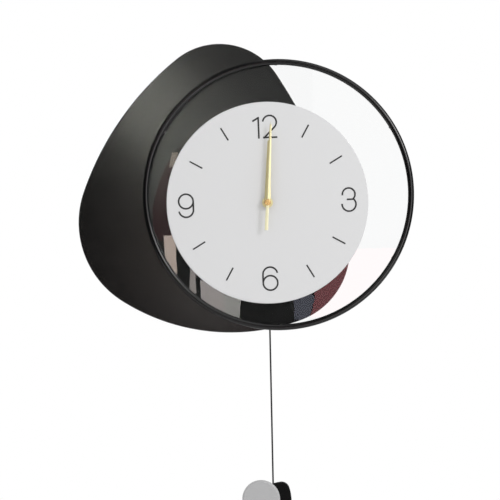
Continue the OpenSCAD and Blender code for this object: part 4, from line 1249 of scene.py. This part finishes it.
@dataclass(frozen=True)
class Lamp:
    """A soft rectangular lamp that faces the dial: place and size in metres, power in watts.

    Its top leans to the right by so many degrees, as seen from the front.
    """

    name: str
    at: Point
    size: Spot
    power: float
    lean: float = 0.0
    colour: Colour = (1.0, 1.0, 1.0)

    def build(self) -> bpy.types.Object:
        """Makes the lamp.

        Returns:
            The lamp's object.
        """
        data = bpy.data.lights.new(self.name, "AREA")
        data.shape, data.energy, data.color = "RECTANGLE", self.power, self.colour
        data.size, data.size_y = self.size
        lamp = bpy.data.objects.new(self.name, data)
        bpy.context.scene.collection.objects.link(lamp)
        lamp.location = self.at
        dial = Vector((SHAFT[0] * MM, 0, SHAFT[1] * MM))
        lamp.rotation_euler = (dial - Vector(self.at)).to_track_quat("-Z", "Y").to_euler()
        lamp.rotation_euler.rotate_axis("Z", math.radians(-self.lean))
        return lamp


@dataclass(frozen=True)
class SoftBox:
    """A round bright patch of the world, seen only in gloss.

    It begins where the cosine of the angle from its middle is rim, and is full from core inwards.
    """

    toward: Point
    rim: float
    core: float
    strength: float


@dataclass(frozen=True)
class RoomCard:
    """A flat patch of the room in front of the clock, seen only as a reflection in gloss.

    Its glow grows evenly from the dark spot to the bright spot, where they are given.
    """

    name: str
    colour: Colour
    corners: tuple[Spot, ...]
    dark: Spot | None = None
    bright: Spot = (0.0, 0.0)

    def build(self, depth: float) -> None:
        """Puts the card on the far wall.

        Args:
            depth: Its own depth in metres, so that no two cards share a plane.
        """
        mesh = bpy.data.meshes.new(self.name)
        mesh.from_pydata([(x, depth, z) for x, z in self.corners], [], [list(range(len(self.corners)))])
        piece = bpy.data.objects.new(self.name, mesh)
        bpy.context.scene.collection.objects.link(piece)
        for way in ("camera", "diffuse", "transmission", "volume_scatter", "shadow"):
            setattr(piece, "visible_" + way, False)
        material = bpy.data.materials.new(self.name)
        material.use_nodes = True
        board = Board(material.node_tree)
        glow = board.put("Emission", {"Color": (*self.colour, 1), "Strength": 1.0})
        if self.dark is not None:
            step = np.array(self.bright) - np.array(self.dark)
            along = (step[0] / (step @ step), 0.0, step[1] / (step @ step))
            away = board.vector("SUBTRACT", board.put("TexCoord").outputs["Object"],
                                (self.dark[0], depth, self.dark[1])).outputs[0]
            share = board.vector("DOT_PRODUCT", away, along).outputs["Value"]
            board.feed(glow, {"Strength": board.spread(share, 0, 1)})
        board.put("OutputMaterial", {"Surface": glow.outputs[0]})
        mesh.materials.append(material)
        piece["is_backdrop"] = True


KEY = Lamp("key", (2.0, -2.3, 0.95), (0.9, 0.9), 28.5)
SHEEN = Lamp("sheen", (-0.19, -1.175, 0.125), (0.17, 0.74), 1.4, -46.0, (0.99, 1.0, 0.88))
SOFT_BOXES = (
    SoftBox((0.5, -0.84, 0.2), 0.91, 0.985, 1.5),
    SoftBox((-0.45, -0.8, 0.4), 0.955, 0.985, 0.9),
    SoftBox((0.45, -0.4, 0.8), 0.8, 0.95, 1.2),
    SoftBox((0.34, -0.92, -0.2), 0.96, 0.985, 2.4),
)
ROOM_CARDS = (
    RoomCard("wall_left", (0.64, 0.64, 0.60), (
        (-0.43, -0.02), (-0.425, 0.05), (-0.41, 0.10), (-0.385, 0.17), (-0.355, 0.23), (-0.32, 0.28),
        (-0.32, 0.35), (-0.47, 0.35), (-0.47, -0.02)), (-0.40, 0.6), (-0.40, 0.19)),
    RoomCard("wall_top", (0.42, 0.42, 0.41), (
        (-0.32, 0.28), (0.27, 0.4), (0.27, 1.2), (-0.27, 1.2), (-0.27, 0.5), (-0.47, 0.5), (-0.47, 0.35),
        (-0.32, 0.35)), (-1.6, 0.4), (-0.05, 0.4)),
    RoomCard("window_high", (0.95, 0.95, 0.9), ((-0.28, 0.5), (-0.28, 0.95), (-0.7, 0.95), (-0.7, 0.5))),
    RoomCard("wall_right", (0.95, 0.95, 0.95), (
        (0.27, -0.05), (0.45, -0.35), (1.0, -0.35), (1.0, 1.2), (0.27, 1.2)), (0.3, -0.38), (0.3, -0.1)),
    RoomCard("curtain_left", (0.35, 0.1, 0.12), (
        (-0.43, -0.12), (-0.30, -0.1), (-0.30, 0.24), (-0.34, 0.25), (-0.385, 0.17), (-0.41, 0.10),
        (-0.43, 0.02))),
    RoomCard("blind_top", (3.4, 2.8, 2.3), (
        (-0.354, 0.20), (-0.33, 0.20), (-0.315, 0.262), (-0.342, 0.262))),
    RoomCard("blind_left", (9.0, 7.4, 6.4), (
        (-0.378, -0.26), (-0.332, -0.26), (-0.332, -0.095), (-0.385, -0.095))),
    RoomCard("blind_middle", (5.4, 4.9, 4.6), (
        (-0.279, -0.36), (-0.25, -0.38), (-0.25, -0.22), (-0.274, -0.22))),
    RoomCard("door_left", (6.4, 5.9, 5.7), (
        (-0.227, -0.46), (-0.13, -0.46), (-0.13, -0.29), (-0.232, -0.29))),
    RoomCard("door_right", (5.6, 5.5, 5.2), (
        (-0.13, -0.46), (-0.065, -0.46), (-0.05, -0.29), (-0.13, -0.29))),
    RoomCard("screen", (1.2, 1.25, 1.6), (
        (0.17, -0.47), (0.23, -0.47), (0.26, -0.38), (0.23, -0.32), (0.17, -0.36))),
    RoomCard("curtain_right", (3.0, 1.0, 1.1), (
        (0.24, -0.46), (0.7, -0.46), (0.7, -0.17), (0.24, -0.17), (0.26, -0.38))),
)


@dataclass
class Studio:
    """The pale floor, the plain light and the camera."""

    dial_distance: float = 2400.0
    aim: Spot = (-27.4, -69.8)
    roll: float = -1.2
    lens: float = 116.35
    card_wall: float = -4.6
    card_step: float = 0.002
    room_glow: float = 0.03
    rear_glow: float = 0.3
    plain_glow: float = 0.72
    floor_drop: float = 0.25
    floor_radius: float = 1.7
    floor_tone: float = 0.86
    floor_fade: Spot = (0.55, 0.98)

    def build(self) -> None:
        """Makes the camera first, then world, lamp, floor and cards."""
        self.build_camera()
        self.build_world()
        KEY.build()
        self.build_floor()
        for order, card in enumerate(ROOM_CARDS):
            card.build(self.card_wall + order * self.card_step)

    def build_sheen(self) -> None:
        """Adds the long lamp whose soft sheen lies on the panel alone.

        It is sampled directly and never found by a bounce, so that its sheen also shows through the disc.
        """
        lamp = SHEEN.build()
        lit = bpy.data.collections.new("sheen_on")
        lit.objects.link(bpy.data.objects["panel"])
        lamp.light_linking.receiver_collection = lit
        lamp.data.cycles.use_multiple_importance_sampling = False

    def build_camera(self) -> None:
        """Puts the camera square to the wall, in front of the dial."""
        data = bpy.data.cameras.new("camera")
        data.lens, data.sensor_width = self.lens, 36.0
        data.clip_end = 100.0
        camera = bpy.data.objects.new("camera", data)
        bpy.context.scene.collection.objects.link(camera)
        camera.location = ((SHAFT[0] + self.aim[0]) * MM, (depths("dial_disc")[0] - self.dial_distance) * MM,
                           (SHAFT[1] + self.aim[1]) * MM)
        camera.rotation_euler = (math.radians(90), 0, 0)
        camera.rotation_euler.rotate_axis("Z", math.radians(self.roll))
        bpy.context.scene.camera = camera
        bpy.context.scene.view_settings.view_transform = "Standard"

    def build_world(self) -> None:
        """White for the camera, for glass and behind the clock; plain soft light elsewhere."""
        world = bpy.data.worlds.new("studio")
        bpy.context.scene.world = world
        world.use_nodes = True
        board = Board(world.node_tree)
        path = board.put("LightPath").outputs
        way = board.put("TexCoord").outputs["Generated"]
        deep = board.put("SeparateXYZ", {0: way}).outputs["Y"]
        room = self.room_glow
        for box in SOFT_BOXES:
            toward = tuple(Vector(box.toward).normalized())
            turned = board.vector("DOT_PRODUCT", way, toward).outputs["Value"]
            room = board.math("ADD", room, board.spread(turned, box.rim, box.core, 0, box.strength))
        seen = board.math("MAXIMUM", board.spread(deep, -0.1, 0.1, 0, self.rear_glow), room)
        through = path["Is Transmission Ray"]
        straight = board.math("MULTIPLY", through, board.math("LESS_THAN", path["Glossy Depth"], 0.5))
        white = board.math("MAXIMUM", path["Is Camera Ray"], straight)
        other = board.math("SUBTRACT", 1.0, white)
        glossy = board.math("MULTIPLY", board.math("MAXIMUM", path["Is Glossy Ray"], through), other)
        plain = board.math("MULTIPLY", board.math("SUBTRACT", other, glossy), self.plain_glow)
        strength = board.math("ADD", white, board.math("ADD", board.math("MULTIPLY", glossy, seen), plain))
        light = board.put("Background", {"Color": (1, 1, 1, 1), "Strength": strength})
        board.put("OutputWorld", {"Surface": light.outputs[0]})

    def build_floor(self) -> None:
        """Makes a round pale floor whose rim fades into the white."""
        angle = round_angles(96)
        low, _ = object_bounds()
        level = low.z - self.floor_drop
        ring = self.floor_radius * np.column_stack([np.cos(angle), np.sin(angle)])
        mesh = bpy.data.meshes.new("floor")
        mesh.from_pydata([(x, y, level) for x, y in ring.tolist()], [], [list(range(len(ring)))])
        floor = bpy.data.objects.new("floor", mesh)
        bpy.context.scene.collection.objects.link(floor)
        material = bpy.data.materials.new("floor_pale")
        material.use_nodes = True
        board = Board(material.node_tree)
        flat = board.vector("MULTIPLY", board.put("TexCoord").outputs["Object"], (1.0, 1.0, 0.0)).outputs[0]
        reach = board.vector("LENGTH", flat).outputs["Value"]
        fade = board.spread(reach, *(self.floor_radius * share for share in self.floor_fade))
        matt = board.put("BsdfDiffuse", {"Color": (*[self.floor_tone] * 3, 1)})
        white = board.put("Emission", {"Color": (1, 1, 1, 1), "Strength": 1.0})
        mixed = board.put("MixShader", {0: fade, 1: matt.outputs[0], 2: white.outputs[0]})
        board.put("OutputMaterial", {"Surface": mixed.outputs[0]})
        mesh.materials.append(material)
        floor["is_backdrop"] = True


def main() -> None:
    """Builds the clock's looks in order."""
    logging.basicConfig(level=logging.INFO, format="%(name)s %(message)s")
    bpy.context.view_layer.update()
    studio = Studio()
    studio.build()
    BackPanel().build()
    studio.build_sheen()
    RingAndDisc().build()
    Dial().build()
    Hand("hour_hand", "hour_set", length=92.0, width=9.5, tip=3.5, hub=16.0, bore=2.5, collet=3.6,
         lean=2.3).build()
    Hand("minute_hand", "minute_set", length=116.0, width=7.5, tip=2.6, hub=12.0, bore=1.7,
         collet=3.0).build()
    SecondHand().build()
    Bob().build()
    Movement().build()
    dress_carried()


if __name__ == "__main__":
    main()
